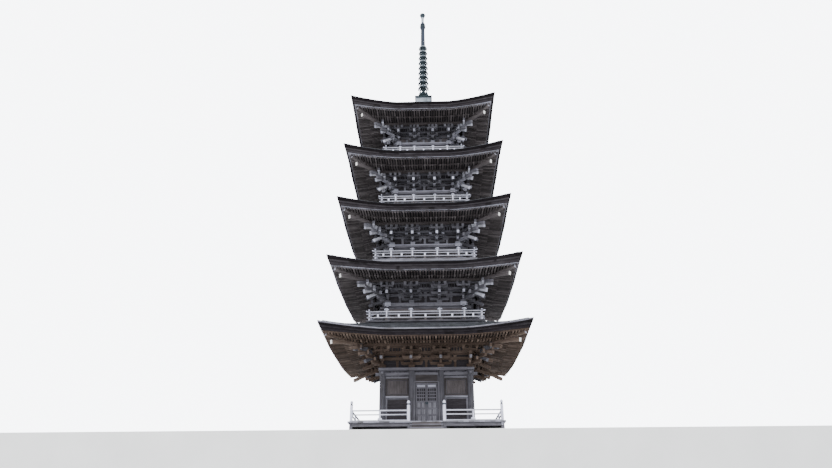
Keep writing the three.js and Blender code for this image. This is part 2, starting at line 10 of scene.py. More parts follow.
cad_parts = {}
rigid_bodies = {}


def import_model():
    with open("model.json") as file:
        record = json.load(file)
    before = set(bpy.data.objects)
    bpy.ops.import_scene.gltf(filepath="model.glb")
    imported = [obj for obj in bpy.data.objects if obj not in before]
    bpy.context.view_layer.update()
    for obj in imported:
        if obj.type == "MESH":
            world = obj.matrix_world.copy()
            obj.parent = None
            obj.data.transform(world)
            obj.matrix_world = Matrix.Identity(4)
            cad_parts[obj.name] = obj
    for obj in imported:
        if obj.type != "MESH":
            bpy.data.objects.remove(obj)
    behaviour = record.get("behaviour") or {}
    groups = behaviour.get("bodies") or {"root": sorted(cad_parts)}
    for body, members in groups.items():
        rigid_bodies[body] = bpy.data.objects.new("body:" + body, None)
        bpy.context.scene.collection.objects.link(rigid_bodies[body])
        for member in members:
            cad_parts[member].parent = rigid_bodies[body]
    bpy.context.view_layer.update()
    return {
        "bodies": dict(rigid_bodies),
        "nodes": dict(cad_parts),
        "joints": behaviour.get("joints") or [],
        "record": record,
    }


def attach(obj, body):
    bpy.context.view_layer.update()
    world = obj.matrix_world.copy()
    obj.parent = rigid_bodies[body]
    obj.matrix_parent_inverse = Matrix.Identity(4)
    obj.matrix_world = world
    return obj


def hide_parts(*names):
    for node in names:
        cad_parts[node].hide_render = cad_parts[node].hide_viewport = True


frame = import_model()
random.seed(11)
move, quarter = Matrix.Translation, math.pi / 2


def asTable(names, *rows):
    return [dict(zip(names.split(), row)) for row in rows]


def take(sizes, names):
    return [sizes[name] for name in names.split()]


# Sizes in metres. Lines are half-widths from the middle of the tower.
storeySizes = asTable(
    "columnLine doorColumn columnRadius eaveLine eaveTop cornerLift plateTop cornerSpread lathTop",
    (1.78, 0.593, 0.125, 4.11, 3.87, 0.33, 2.84, 0.045, 0.240),
    (1.62, 0.600, 0.100, 3.93, 6.69, 0.33, 5.67, 0.065, 0.270),
    (1.48, 0.545, 0.095, 3.70, 9.49, 0.37, 8.50, 0.055, 0.250),
    (1.35, 0.490, 0.090, 3.52, 12.28, 0.39, 11.35, 0.090, 0.245),
    (1.23, 0.450, 0.085, 3.38, 15.09, 0.43, 14.16, 0.045, 0.260))
balconySizes = asTable(
    "floorTop railLine outerPost capRadius capLift railRise bandDepth",
    (4.69, 2.34, 1.62, 0.108, 0.055, -0.01, 0.030),
    (7.52, 2.17, 1.48, 0.098, 0.045, 0.0, 0.095),
    (10.37, 1.97, 1.32, 0.078, 0.012, 0.0, 0.080),
    (13.11, 1.82, 1.14, 0.068, 0.0, 0.045, 0.075))
bodySeats = [None, 4.02, 6.84, 9.62, 12.40, 15.19]

# Camera: close below the tower, looking up, turned a little to the left
cameraLook = dict(place=(0.30, -26.33, -2.72), yawLeft=1.62, levelPitch=90, pitchUp=25.37, roll=-0.28,
                  focalPixels=600.0, framePixels=832.0, sensorWidth=36.0, farEnd=200)


def turned(angle, axis="Z"):
    return Matrix.Rotation(angle, 4, axis)


def linkObject(name, data):
    holder = bpy.data.objects.new(name, data)
    bpy.context.scene.collection.objects.link(holder)
    return holder


def addCamera(look):
    camera = bpy.data.cameras.new("towerCamera")
    camera.sensor_width = look["sensorWidth"]
    camera.lens = look["focalPixels"] / look["framePixels"] * look["sensorWidth"]
    camera.clip_end = look["farEnd"]
    angles = (look["yawLeft"], look["levelPitch"] + look["pitchUp"], look["roll"])
    yaw, pitch, roll = [math.radians(angle) for angle in angles]
    holder = linkObject("towerCamera", camera)
    holder.matrix_world = move(look["place"]) @ turned(yaw) @ turned(pitch, "X") @ turned(roll)
    bpy.context.scene.camera = holder


addCamera(cameraLook)
print("camera set")

# Finishes


def startFinish(name):
    material = bpy.data.materials.new(name)
    material.use_nodes = True
    return material, material.node_tree, addNode(material.node_tree, "TexCoord").outputs["Object"]


def addNode(tree, kind, links=None, **settings):
    node = tree.nodes.new("ShaderNode" + kind)
    for key, value in settings.items():
        setattr(node, key, value)
    for socket, value in (links or {}).items():
        if isinstance(value, bpy.types.NodeSocket):
            tree.links.new(value, node.inputs[socket])
        else:
            node.inputs[socket].default_value = value
    return node


def addRamp(tree, factor, *stops):
    # a stop is its position and a colour, or one number for a grey
    ramp = addNode(tree, "ValToRGB", {"Fac": factor})
    elements = ramp.color_ramp.elements
    while len(elements) < len(stops):
        elements.new(0.5)
    for element, (position, colour) in zip(elements, stops):
        element.position = position
        element.color = (*colour, 1) if isinstance(colour, tuple) else (colour, colour, colour, 1)
    return ramp.outputs["Color"]


def addNoise(tree, vector, scale, stretch=(1, 1, 1), detail=4.0, rough=0.55):
    stretched = addNode(tree, "Mapping", {"Vector": vector, "Scale": stretch}).outputs[0]
    return addNode(tree, "TexNoise", {
        "Vector": stretched, "Scale": scale, "Detail": detail, "Roughness": rough}).outputs["Fac"]


def addMath(tree, operation, first, second, third=0.0, clamp=False):
    return addNode(tree, "Math", {0: first, 1: second, 2: third}, operation=operation,
                   use_clamp=clamp).outputs[0]


def addSum(tree, *parts):
    total = 0.0
    for source, share in parts:
        total = addMath(tree, "MULTIPLY_ADD", source, share, total)
    return total


def addRange(tree, value, low, high, toMax=1.0, toMin=0.0):
    return addNode(tree, "MapRange", {
        "Value": value, "From Min": low, "From Max": high, "To Min": toMin, "To Max": toMax}).outputs[0]


def addMix(tree, factor, *colours):
    first, second = [(*colour, 1) if isinstance(colour, tuple) else colour for colour in colours]
    return addNode(tree, "Mix", {0: factor, 6: first, 7: second}, data_type="RGBA").outputs[2]


def dress(material, colour, rough, relief, strength, distance, invert=False, gloss=0.5, metal=None):
    tree = material.node_tree
    shader = tree.nodes["Principled BSDF"]
    bump = addNode(tree, "Bump", {"Height": relief, "Strength": strength, "Distance": distance},
                   invert=invert)
    shader.inputs["Specular IOR Level"].default_value = gloss
    for socket, value in (("Base Color", colour), ("Roughness", rough), ("Normal", bump.outputs[0]),
                          ("Metallic", metal)):
        if value:
            tree.links.new(value, shader.inputs[socket])
    return material


# Weathered timber, and a dark timber that is partly painted shade. The grain runs along each member by its
# own map, and every member has its own tone.
timberMarks = ((0.18, 0.42, 0.62, 0.86), (0.18, 0.42, 0.64, 0.88), (0.15, 0.40, 0.62, 0.88))
timberLooks = asTable(
    "name marks tone crack rough bump gloss stain shades",
    ("paleTimber", 0, 0.30, 0.62, 0.78, 0.5, 0.3, (0.11, 0.10, 0.08),
     ((0.15, 0.145, 0.15), (0.35, 0.352, 0.40), (0.545, 0.55, 0.66), (0.74, 0.75, 0.87))),
    ("silverTimber", 0, 0.32, 0.6, 0.8, 0.5, 0.25, (0.06, 0.05, 0.04),
     ((0.045, 0.042, 0.045), (0.122, 0.120, 0.138), (0.228, 0.228, 0.272), (0.368, 0.368, 0.436))),
    ("greyTimber", 1, 0.34, 0.6, 0.8, 0.55, 0.2, (0.035, 0.030, 0.028),
     ((0.018, 0.017, 0.020), (0.055, 0.053, 0.062), (0.112, 0.109, 0.126), (0.198, 0.193, 0.220))),
    ("brownTimber", 1, 0.36, 0.6, 0.82, 0.5, 0.15, (0.022, 0.016, 0.013),
     ((0.013, 0.011, 0.011), (0.039, 0.034, 0.035), (0.080, 0.070, 0.072), (0.145, 0.130, 0.134))),
    ("warmTimber", 1, 0.36, 0.6, 0.82, 0.5, 0.1, (0.026, 0.016, 0.012),
     ((0.016, 0.010, 0.008), (0.047, 0.033, 0.026), (0.096, 0.070, 0.056), (0.170, 0.130, 0.108))),
    # the dark timber: old wood dark with moss and damp, and painted shade where boards, panels and edges lie
    # in shadow under the eaves and behind other members
    ("darkTimber", 1, 0.3, 0.6, 0.82, 0.5, 0.06, (0.012, 0.010, 0.010),
     ((0.005, 0.004, 0.005), (0.013, 0.011, 0.013), (0.028, 0.025, 0.028), (0.055, 0.050, 0.056))),
    ("shingle", 2, 0.40, 0.60, 0.84, 0.6, 0.2, (0.032, 0.040, 0.026),
     ((0.011, 0.011, 0.013), (0.028, 0.029, 0.034), (0.056, 0.059, 0.067), (0.12, 0.125, 0.138))))
bronzeLooks = asTable(
    "name bare shades",
    ("bronze", 0.5, ((0.004, 0.007, 0.009), (0.011, 0.020, 0.025), (0.040, 0.056, 0.068))),
    ("shaftBronze", 0.4, ((0.007, 0.010, 0.016), (0.018, 0.025, 0.038), (0.045, 0.058, 0.080))),
    ("basinBronze", 0.6, ((0.09, 0.105, 0.12), (0.20, 0.225, 0.255), (0.33, 0.36, 0.41))))


def makeTimber(look):
    material, tree, place = startFinish(look["name"])
    grain = addNode(tree, "UVMap", uv_map="grain").outputs[0]
    tone = addNode(tree, "Attribute", attribute_name="tone").outputs["Fac"]
    fine = addNoise(tree, grain, 1.0, (3.0, 150.0, 1.0), 5.0, 0.62)
    broad = addNoise(tree, grain, 1.0, (0.9, 22.0, 1.0), 3.0, 0.5)
    weather = addNoise(tree, place, 0.9, (1, 1, 1.6), 5.0, 0.6)
    cracks = addNoise(tree, grain, 1.0, (1.6, 95.0, 1.0), 2.0, 0.4)
    stains = addNoise(tree, place, 2.3, (1, 1, 0.5), 6.0, 0.65)
    mixed = addSum(tree, (fine, 0.40), (broad, 0.38), (weather, 0.34), (tone, look["tone"]))
    value = addMath(tree, "SUBTRACT", mixed, look["tone"] * 0.5 + 0.06, clamp=True)
    split = addRange(tree, cracks, look["crack"], look["crack"] + 0.05)
    wood = addRamp(tree, value, *zip(timberMarks[look["marks"]], look["shades"]))
    colour = addMix(tree, addRange(tree, stains, 0.56, 0.74, 0.55), wood, look["stain"])
    colour = addMix(tree, addSum(tree, (split, 0.75)), colour, tuple(part * 0.35 for part in look["stain"]))
    rough = addRange(tree, value, 0.0, 1.0, look["rough"] - 0.10, look["rough"] + 0.12)
    relief = addMath(tree, "SUBTRACT", addMath(tree, "MULTIPLY_ADD", broad, 0.6, fine), split)
    return dress(material, colour, rough, relief, look["bump"], 0.004, gloss=look["gloss"])


def makeWhitePaint():
    # chalk white on the ends of the hip rafters, worn through in places
    material, tree, place = startFinish("whitePaint")
    flakes = addNoise(tree, place, 34.0, (1, 1, 1), 6.0, 0.7)
    dirt = addNoise(tree, place, 7.0, (1, 1, 0.4), 4.0, 0.6)
    worn = addRange(tree, flakes, 0.56, 0.62, 0.8)
    paint = addRamp(tree, dirt, (0.3, (0.50, 0.49, 0.46)), (0.7, (0.80, 0.79, 0.77)))
    rough = addRamp(tree, flakes, (0.3, 0.65), (0.7, 0.9))
    return dress(material, addMix(tree, worn, paint, (0.20, 0.18, 0.16)), rough, worn, 0.4, 0.003,
                 invert=True)


def makeBronze(look):
    material, tree, place = startFinish(look["name"])
    cloud = addNoise(tree, place, 3.2, (1, 1, 0.35), 6.0, 0.62)
    speck = addNoise(tree, place, 46.0, (1, 1, 0.6), 4.0, 0.6)
    mixed = addSum(tree, (cloud, 0.75), (speck, 0.35))
    colour = addRamp(tree, mixed, *zip((0.38, 0.55, 0.72), look["shades"]))
    metal = addRamp(tree, mixed, (0.40, look["bare"]), (0.60, 0.10))
    rough = addRamp(tree, mixed, (0.40, 0.55), (0.65, 0.88))
    return dress(material, colour, rough, mixed, 0.35, 0.006, gloss=0.25, metal=metal)


def makeStone():
    material, tree, place = startFinish("stone")
    tone = addNode(tree, "Attribute", attribute_name="tone").outputs["Fac"]
    broad = addNoise(tree, place, 1.7, (1, 1, 1), 6.0, 0.6)
    crystals = addNoise(tree, place, 70.0, (1, 1, 1), 3.0, 0.7)
    patches = addNoise(tree, place, 3.4, (1, 1, 1.8), 7.0, 0.68)
    rock = addRamp(tree, addSum(tree, (broad, 0.5), (crystals, 0.4), (tone, 0.18)),
                   (0.34, (0.10, 0.095, 0.08)), (0.52, (0.24, 0.235, 0.205)), (0.72, (0.42, 0.41, 0.37)))
    colour = addMix(tree, addRange(tree, patches, 0.55, 0.68, 0.7), rock, (0.085, 0.10, 0.035))
    rough = addRamp(tree, crystals, (0.3, 0.78), (0.7, 0.96))
    return dress(material, colour, rough, addMath(tree, "MULTIPLY_ADD", broad, 1.6, crystals), 0.6, 0.012)


def makeGround():
    material, tree, place = startFinish("paleGround")
    drift = addRamp(tree, addNoise(tree, place, 0.6, (1, 1, 1), 4.0, 0.5), (0.3, (0.66, 0.66, 0.65)),
                    (0.7, (0.72, 0.72, 0.71)))
    shader = tree.nodes["Principled BSDF"]
    tree.links.new(drift, shader.inputs["Base Color"])
    shader.inputs["Roughness"].default_value = 0.95
    return material


finishes = [makeTimber(look) for look in timberLooks] + [makeWhitePaint()]
finishes += [makeBronze(look) for look in bronzeLooks] + [makeStone()]
# each finish's number in that list
# the dark timber's number also marks painted shade
pale, silver, grey, brown, warm, darkShade, shingle, white = range(8)
bronze, shaftBronze, basinBronze, stone = range(8, 12)
print("finishes made")

# Shapes, and how they are placed
crossingLift = 0.0008  # a hair up or down, so that faces that cross at the corners don't lie in one plane


def startWork():
    work = bmesh.new()
    work.loops.layers.uv.new("grain")
    work.faces.layers.float.new("tone")
    return work


def keepShape(work, along=0):
    # keeps a shape that is stamped many times; along is the axis that its grain follows
    mesh = bpy.data.meshes.new("shape")
    work.normal_update()
    work.to_mesh(mesh)
    work.free()
    corners = np.empty(len(mesh.vertices) * 3, np.float32)
    mesh.vertices.foreach_get("co", corners)
    loops = np.empty(len(mesh.loops), np.int32)
    mesh.loops.foreach_get("vertex_index", loops)
    others = [axis for axis in range(3) if axis != along]
    lengthwise, crosswise, ends = [], [], []
    for face in mesh.polygons:
        normal = [abs(part) for part in face.normal]
        isEnd = normal[along] > 0.7
        pair = others if isEnd else (along, min(others, key=lambda axis: normal[axis]))
        lengthwise += [pair[0]] * face.loop_total
        crosswise += [pair[1]] * face.loop_total
        ends.append(isEnd)
    return {"mesh": mesh, "corners": corners.reshape(-1, 3), "loops": loops, "ends": np.array(ends),
            "rows": np.arange(len(loops)), "lengthwise": np.array(lengthwise),
            "crosswise": np.array(crosswise)}


def stamp(work, shape, finish, place=None, size=(1, 1, 1), ends=None, tone=None):
    # ends is the finish of the end grain; a tone of None is drawn, and a higher one is lighter
    mesh = shape["mesh"]
    corners = shape["corners"] * np.array(size, np.float32)
    turn = np.array(place or Matrix.Identity(4), np.float32)
    mesh.vertices.foreach_set("co", np.ascontiguousarray(corners @ turn[:3, :3].T + turn[:3, 3]).ravel())
    spots, rows = corners[shape["loops"]], shape["rows"]
    grain = [spots[rows, shape[way]] + random.random() * 30 for way in ("lengthwise", "crosswise")]
    mesh.attributes["grain"].data.foreach_set("vector", np.stack(grain, 1).astype(np.float32).ravel())
    count = len(mesh.polygons)
    shade = random.random() if tone is None else tone
    mesh.attributes["tone"].data.foreach_set("value", np.full(count, shade, np.float32))
    picks = np.full(count, finish, np.int32)
    if ends is not None:
        picks[shape["ends"]] = ends
    mesh.polygons.foreach_set("material_index", picks)
    work.from_mesh(mesh)


def stampOnce(work, shape, finish, place=None, tone=None):
    stamp(work, shape, finish, place, tone=tone)
    bpy.data.meshes.remove(shape["mesh"])


def cubeShape(along, centre=(0, 0, 0)):
    work = startWork()
    bmesh.ops.create_cube(work, size=1, matrix=move(centre))
    return keepShape(work, along)


boxShapes = [cubeShape(axis) for axis in range(3)]
barShape = cubeShape(0, (0.5, 0, 0))


def around(middle, half):
    return middle - half, middle + half


def boxPlace(*spans):
    # middle and size of a box, from where it begins and ends along each axis
    return move([(low + high) / 2 for low, high in spans]), [high - low for low, high in spans]


def addBox(work, x, y, z, finish, along=0, tone=None):
    stamp(work, boxShapes[along], finish, *boxPlace(x, y, z), tone=tone)


def addSoftBox(work, x, y, z, bevel, finish, along=0, segments=2, tone=None):
    place, size = boxPlace(x, y, z)
    part = startWork()
    bmesh.ops.create_cube(part, size=1)
    bmesh.ops.scale(part, vec=size, verts=part.verts[:])
    bmesh.ops.bevel(part, geom=part.edges[:], offset=bevel, segments=segments, profile=0.5, affect="EDGES",
                    material=-1)
    stampOnce(work, keepShape(part, along), finish, place, tone)


def barPlace(start, end, across=None):
    # X runs from start to end, Y lies level unless across leans it, Z is the upper side
    along = (Vector(end) - Vector(start)).normalized()
    side = Vector(across) if across is not None else Vector((0, 0, 1)).cross(along)
    side = side - along * side.dot(along)
    if side.length < 1e-4:
        side = Vector((0, 1, 0))
    side.normalize()
    place = Matrix((along, side, along.cross(side))).transposed().to_4x4()
    place.translation = start
    return place


def addBar(work, start, end, width, depth, finish, ends=None, across=None, tone=None):
    # start and end are the middles of the two end faces
    length = (Vector(end) - Vector(start)).length
    stamp(work, barShape, finish, barPlace(start, end, across), (length, width, depth), ends, tone)


def addBeam(work, half, line, height, width, depth, finish, ends=None, tone=None):
    # a level timber along the front
    addBar(work, (-half, -line, height), (half, -line, height), width, depth, finish, ends, tone=tone)


def makeBlock():
    # bearing block: straight above, drawn in below
    work = startWork()
    bmesh.ops.create_cube(work, size=1, matrix=move((0, 0, 0.5)))
    bmesh.ops.bisect_plane(work, geom=work.verts[:] + work.edges[:] + work.faces[:],
                           plane_co=(0, 0, 0.48), plane_no=(0, 0, 1))
    bmesh.ops.scale(work, vec=(0.66, 0.66, 1), verts=[vert for vert in work.verts if vert.co.z < 0.01])
    return keepShape(work, 0)


blockShape = makeBlock()
armShapes = {}


def makeArm(length, width, depth, bothEnds):
    # bracket arm, rounded up from below at its ends
    work = startWork()
    bmesh.ops.create_cube(work, size=1, matrix=move((0 if bothEnds else 0.5, 0, 0.5)))
    bmesh.ops.scale(work, vec=(length, width, depth), verts=work.verts[:])
    low = [edge for edge in work.edges
           if all(vert.co.z < 1e-5 for vert in edge.verts)
           and abs(edge.verts[0].co.x - edge.verts[1].co.x) < 1e-5
           and (bothEnds or edge.verts[0].co.x > 1e-5)]
    bmesh.ops.bevel(work, geom=low, offset=0.72 * depth, segments=3, profile=0.5, affect="EDGES",
                    material=-1)
    return keepShape(work, 0)


def addArm(work, place, length, width, depth, finish, ends=None, bothEnds=True, tone=None):
    key = (round(length, 4), round(width, 4), round(depth, 4), bothEnds)
    if key not in armShapes:
        armShapes[key] = makeArm(*key)
    stamp(work, armShapes[key], finish, place, ends=ends, tone=tone)


def turnedShape(profile, steps):
    # a line of (radius, height) points turned about the upright axis
    work = startWork()
    points = [work.verts.new((radius, 0, height)) for radius, height in profile]
    for first, second in zip(points, points[1:]):
        work.edges.new((first, second))
    bmesh.ops.spin(work, geom=work.verts[:] + work.edges[:], axis=(0, 0, 1), cent=(0, 0, 0),
                   dvec=(0, 0, 0), angle=math.tau, steps=steps, use_merge=True, use_duplicate=False)
    bmesh.ops.remove_doubles(work, verts=work.verts[:], dist=1e-5)
    bmesh.ops.recalc_face_normals(work, faces=work.faces[:])
    return keepShape(work, 2)


def addTurned(work, profile, steps, finish):
    stampOnce(work, turnedShape(profile, steps), finish)


def columnShape(radius, segments=20):
    work = startWork()
    bmesh.ops.create_cone(work, cap_ends=True, segments=segments, radius1=radius, radius2=radius, depth=1,
                          matrix=move((0, 0, 0.5)))
    return keepShape(work, 2)


endShares = [0.35, 0.42, 0.5, 0.57, 0.64, 0.71, 0.78, 0.84, 0.9, 0.95, 1.0]
liftShares = [-share for share in reversed(endShares)] + [0] + endShares


def sweepRound(work, profile, finish, bend=None, tone=0.5):
    # carries a closed profile of (half-width, height) points round the four sides; bend holds the
    # eave's rise, reach and depth at its corners, and a point's third number is its share of that depth
    shares = liftShares if bend else [-1, 0, 1]
    lengths = [0.0]
    for point, nextPoint in zip(profile, profile[1:] + profile[:1]):
        lengths.append(lengths[-1] + math.dist(point[:2], nextPoint[:2]))
    part = startWork()
    grain = part.loops.layers.uv["grain"]
    columns, rows = len(profile), len(shares) - 1
    for side in range(4):
        turn = Matrix.Rotation(side * quarter, 3, "Z")
        for vert in bmesh.ops.create_grid(part, x_segments=columns, y_segments=rows, size=0.5)["verts"]:
            column = round((vert.co.x + 0.5) * columns)
            share = shares[round((vert.co.y + 0.5) * rows)]
            half, height, *low = profile[column % columns]
            for loop in vert.link_loops:
                loop[grain].uv = (share * half + side * 11.3, lengths[column] + height)
            if bend:
                drop = low[0] * bend["deepen"](abs(share)) if low else 0
                height += bend["lift"](half, abs(share)) - drop
                half += bend["spread"](half, abs(share))
            vert.co = turn @ Vector((share * half, -half, height))
    tones = part.faces.layers.float["tone"]
    for face in part.faces:
        face[tones] = tone
        face.material_index = finish
    bmesh.ops.remove_doubles(part, verts=part.verts[:], dist=1e-5)
    bmesh.ops.recalc_face_normals(part, faces=part.faces[:])
    pour(work, part, 1)


def sweepBelt(work, inner, outer, low, high, finish, tone=0.5):
    sweepRound(work, [(inner, low), (outer, low), (outer, high), (inner, high)], finish, tone=tone)


def pour(work, part, turns=4, first=0):
    # adds a finished part to the work, once for each quarter turn from the first on
    mesh = bpy.data.meshes.new("part")
    part.to_mesh(mesh)
    part.free()
    for turn in range(turns):
        if turn:
            mesh.transform(move((0, 0, crossingLift if turn % 2 else -crossingLift)) @ turned(quarter))
        if turn >= first:
            work.from_mesh(mesh)
    bpy.data.meshes.remove(mesh)


def mitre(side):
    # cuts a side's timbers on the lines that run to its two corners, and closes the cuts
    tones = side.faces.layers.float["tone"]
    for lean in (-1, 1):
        bmesh.ops.bisect_plane(side, geom=side.verts[:] + side.edges[:] + side.faces[:], dist=1e-6,
                               plane_co=(0, 0, 0), plane_no=(lean, 1, 0), clear_outer=True)
        rim = [edge for edge in side.edges if edge.is_boundary]
        for face in bmesh.ops.holes_fill(side, edges=rim, sides=0)["faces"]:
            for neighbour in face.edges[0].link_faces:
                if neighbour != face:
                    face.material_index = neighbour.material_index
                    face[tones] = neighbour[tones]
    bmesh.ops.recalc_face_normals(side, faces=side.faces[:])


def finishPiece(work, name, node, body="tower", smoothAngle=38):
    mesh = bpy.data.meshes.new(name)
    work.to_mesh(mesh)
    work.free()
    used = np.empty(len(mesh.polygons), np.int32)
    mesh.polygons.foreach_get("material_index", used)
    kept = sorted(set(int(index) for index in used))
    for index in kept:
        mesh.materials.append(finishes[index])
    renumber = np.zeros(len(finishes), np.int32)
    renumber[kept] = np.arange(len(kept))
    mesh.polygons.foreach_set("material_index", renumber[used])
    mesh.polygons.foreach_set("use_smooth", np.ones(len(mesh.polygons), bool))
    mesh.set_sharp_from_angle(angle=math.radians(smoothAngle))
    piece = linkObject(name, mesh)
    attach(piece, body)
    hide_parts(node)


def finishSides(side, name, node, work=None, smoothAngle=38):
    # a piece with four like sides, of which side is the front
    work = work or startWork()
    pour(work, side)
    finishPiece(work, name, node, smoothAngle=smoothAngle)


# Levels under one eave, worked out from its edge inwards
eaveSizes = dict(setback=0.05, edgeDepth=0.29, flyingSlope=0.12, baseSlope=0.24, rafterStep=0.62,
                 baseDrop=0.10, levelShare=0.35, liftPower=1.35, liftAtStep=0.32, bracketStep=0.115,
                 purlinHalf=0.055, purlinDepth=0.13, bearingBlock=0.13, noseShare=0.13, cornerDepth=0.07,
                 edgeRise=0.03)


def eaveLevels(storey):
    sizes = eaveSizes
    columnLine, eaveLine, plateTop = take(storey, "columnLine eaveLine plateTop")
    overhang = eaveLine - columnLine
    step = sizes["bracketStep"] * overhang
    purlinLine = columnLine + 3 * step
    stepLine = columnLine + sizes["rafterStep"] * overhang
    edgeBottom = storey["eaveTop"] - sizes["edgeRise"] - sizes["edgeDepth"]
    edgeLine = eaveLine - sizes["setback"]
    flyingRoot = edgeBottom + sizes["flyingSlope"] * (edgeLine - stepLine)
    baseTip = flyingRoot - sizes["baseDrop"]

    def under(half):
        return baseTip + sizes["baseSlope"] * (stepLine - half)

    def lift(half, share):
        rise = max(0, (share - sizes["levelShare"]) / (1 - sizes["levelShare"])) ** sizes["liftPower"]
        inner = max(0, (half - purlinLine) / (stepLine - purlinLine)) * sizes["liftAtStep"]
        outer = sizes["liftAtStep"] + (half - stepLine) / (eaveLine - stepLine) * (1 - sizes["liftAtStep"])
        return storey["cornerLift"] * rise * (inner if half < stepLine else outer)

    def spread(half, share):
        # the eave reaches a little further out towards its corners
        outer = max(0, (half - stepLine) / (eaveLine - stepLine))
        return storey["cornerSpread"] * outer * max(0, (share - 0.5) / 0.5) ** 2

    def deepen(share):
        # and its edge grows deeper there
        return sizes["cornerDepth"] * max(0, (share - 0.4) / 0.6) ** 1.5

    purlinTop = under(purlinLine + sizes["purlinHalf"])
    purlinBottom = purlinTop - sizes["purlinDepth"]
    tier = (purlinBottom - plateTop - sizes["bearingBlock"]) / 3
    return dict(step=step, purlinLine=purlinLine, stepLine=stepLine, under=under, lift=lift, spread=spread,
                deepen=deepen, purlinTop=purlinTop, purlinBottom=purlinBottom, tier=tier,
                courses=[plateTop + sizes["bearingBlock"] + index * tier for index in range(3)],
                reach=purlinLine + sizes["noseShare"] * overhang)


def edgeBand(outer, back, slant, high, low):
    # profile of one layer of an eave's edge; high and low are a height and its share of the edge's depth
    return [(outer - back, *high), (outer, *high), (outer - slant, *low), (outer - back, *low)]


def onCorner(half, height):
    return Vector((-half, -half, height))


# Shingled roofs
roofLook = dict(exposure=0.082, shingleLength=0.235, narrow=0.12, wide=0.21, thickness=0.017, gap=0.003,
                paleLayers=2, edgeLayers=5, edgeHeight=0.078, edgeUndercut=0.007, edgeBack=0.25,
                edgeSlant=0.004, deckDrop=0.06, topInner=0.38, topHeight=17.06, topSag=0.12, sag=0.05,
                hipWidth=0.105, hipRise=0.040, hipStop=0.16, hipCore=0.12, hipLap=0.075, hipLength=0.15)


def roofSurface(number, look):
    storey = storeySizes[number - 1]
    last = number == len(storeySizes)
    inner = look["topInner"] if last else balconySizes[number - 1]["railLine"] - 0.05
    innerTop = look["topHeight"] if last else balconySizes[number - 1]["floorTop"] - 0.07
    rim, sag = inner + 0.06, look["topSag" if last else "sag"]
    run, rise = storey["eaveLine"] - rim, innerTop - storey["eaveTop"]

    def surface(half):
        along = (storey["eaveLine"] - half) / run
        return storey["eaveTop"] + rise * along - 4 * sag * rise * along * (1 - along)

    return inner, innerTop, rim, surface


def addShingles(side, eaveLine, lift, spread, rim, surface, look, isHighlitEdge):
    # overlapping rows from the eave up, each shingle of its own width, tone and slip; the lowest row is
    # lighter, a painted highlight along the edge, and silver on the ground storey
    half = eaveLine - 0.002
    while half > rim + 0.03:
        upper = max(half - look["shingleLength"], rim - 0.01)
        isFirst = half > eaveLine - 0.01
        finish = silver if isFirst and isHighlitEdge else shingle
        x = -half - 0.1 - random.uniform(0, look["wide"])
        while x < half + 0.1:
            width = random.uniform(look["narrow"], look["wide"])
            middle = x + width / 2
            if abs(middle) - width / 2 < half + 0.09:
                share = min(1, abs(middle) / half)
                low = (middle, -half - spread(half, share) + random.uniform(0, 0.005),
                       surface(half) + lift(half, share) - 0.002)
                high = (middle, -upper - spread(upper, share),
                        surface(upper) + lift(upper, abs(middle) / upper) - 0.026)
                rise = lift(half, abs(middle + 0.05) / half) - lift(half, abs(middle - 0.05) / half)
                tone = random.uniform(0.7, 1.0) if isFirst else random.uniform(0.1, 0.8)
                addBar(side, low, high, width - look["gap"], look["thickness"], finish,
                       across=(-0.1, 0, -rise), tone=tone)
            x += width
        half -= look["exposure"]


def addHip(work, eaveLine, lift, spread, rim, surface, look):
    # the crest over one corner: a core and two rows of cover shingles that lap downhill
    def point(half, rise):
        return onCorner(half + spread(half, 1), surface(half) + lift(half, 1) + rise)

    start, end = rim + 0.03, eaveLine - look["hipStop"]
    spots = [start + (end - start) * index / 9 for index in range(10)]
    for first, second in zip(spots, spots[1:]):
        addBar(work, point(second, -0.02), point(first, -0.02), look["hipCore"], look["hipRise"] + 0.05,
               shingle)
    sideways = Vector((-1, 1, 0)).normalized()
    half = end
    while half > start + 0.05:
        low, high = point(half, 0.012), point(max(half - look["hipLength"], start), -0.004)
        for lean in (-1, 1):
            offset = sideways * lean * look["hipWidth"] * 0.45 + Vector((0, 0, look["hipRise"] - 0.035))
            addBar(work, low + offset, high + offset, look["hipWidth"], 0.02, shingle,
                   across=-(sideways - Vector((0, 0, 0.32 * lean))))
        half -= look["hipLap"]


def addRoof(number, look):
    storey = storeySizes[number - 1]
    levels = eaveLevels(storey)
    inner, innerTop, rim, surface = roofSurface(number, look)
    eaveLine, eaveTop = take(storey, "eaveLine eaveTop")
    layers, drop = look["edgeLayers"], look["deckDrop"]
    work = startWork()
    stations = [rim + (eaveLine - drop - rim) * index / 8 for index in range(1, 9)]
    deck = [(inner, innerTop), (rim, innerTop)] + [(half, surface(half) - 0.03) for half in stations]
    under = [(eaveLine - drop, eaveTop - drop), (levels["stepLine"], eaveTop - drop),
             (inner, innerTop - 0.15)]
    sweepRound(work, deck + under, shingle, levels, tone=0.2)
    # the edge's layers are mostly dark timber with a lowered tone: partly mossy wood, partly painted shade on
    # the edge
    layer = look["edgeHeight"] / layers
    for index in range(layers):
        top = eaveTop - index * layer - 0.008
        share, nextShare = 0.45 * index / layers, 0.45 * (index + 1) / layers
        # on the ground storey the top layers are silver timber, a painted highlight where light catches the
        # edge
        isHighlitEdge, tone = number == 1 and index < look["paleLayers"], random.uniform(-0.7, -0.2)
        band = edgeBand(eaveLine - index * look["edgeUndercut"], look["edgeBack"], look["edgeSlant"],
                        (top, share), (top - layer + 0.003, nextShare))
        sweepRound(work, band, silver if isHighlitEdge else darkShade, levels, tone=tone + 0.75 if isHighlitEdge else tone)
    side = startWork()
    shared = (eaveLine, levels["lift"], levels["spread"], rim, surface, look)
    addShingles(side, *shared, number == 1)
    mitre(side)
    addHip(side, *shared)
    finishSides(side, f"storey{number}Shingles", f"storey_{number}_roof", work)


for number in range(1, 6):
    addRoof(number, roofLook)
print("roofs shingled")

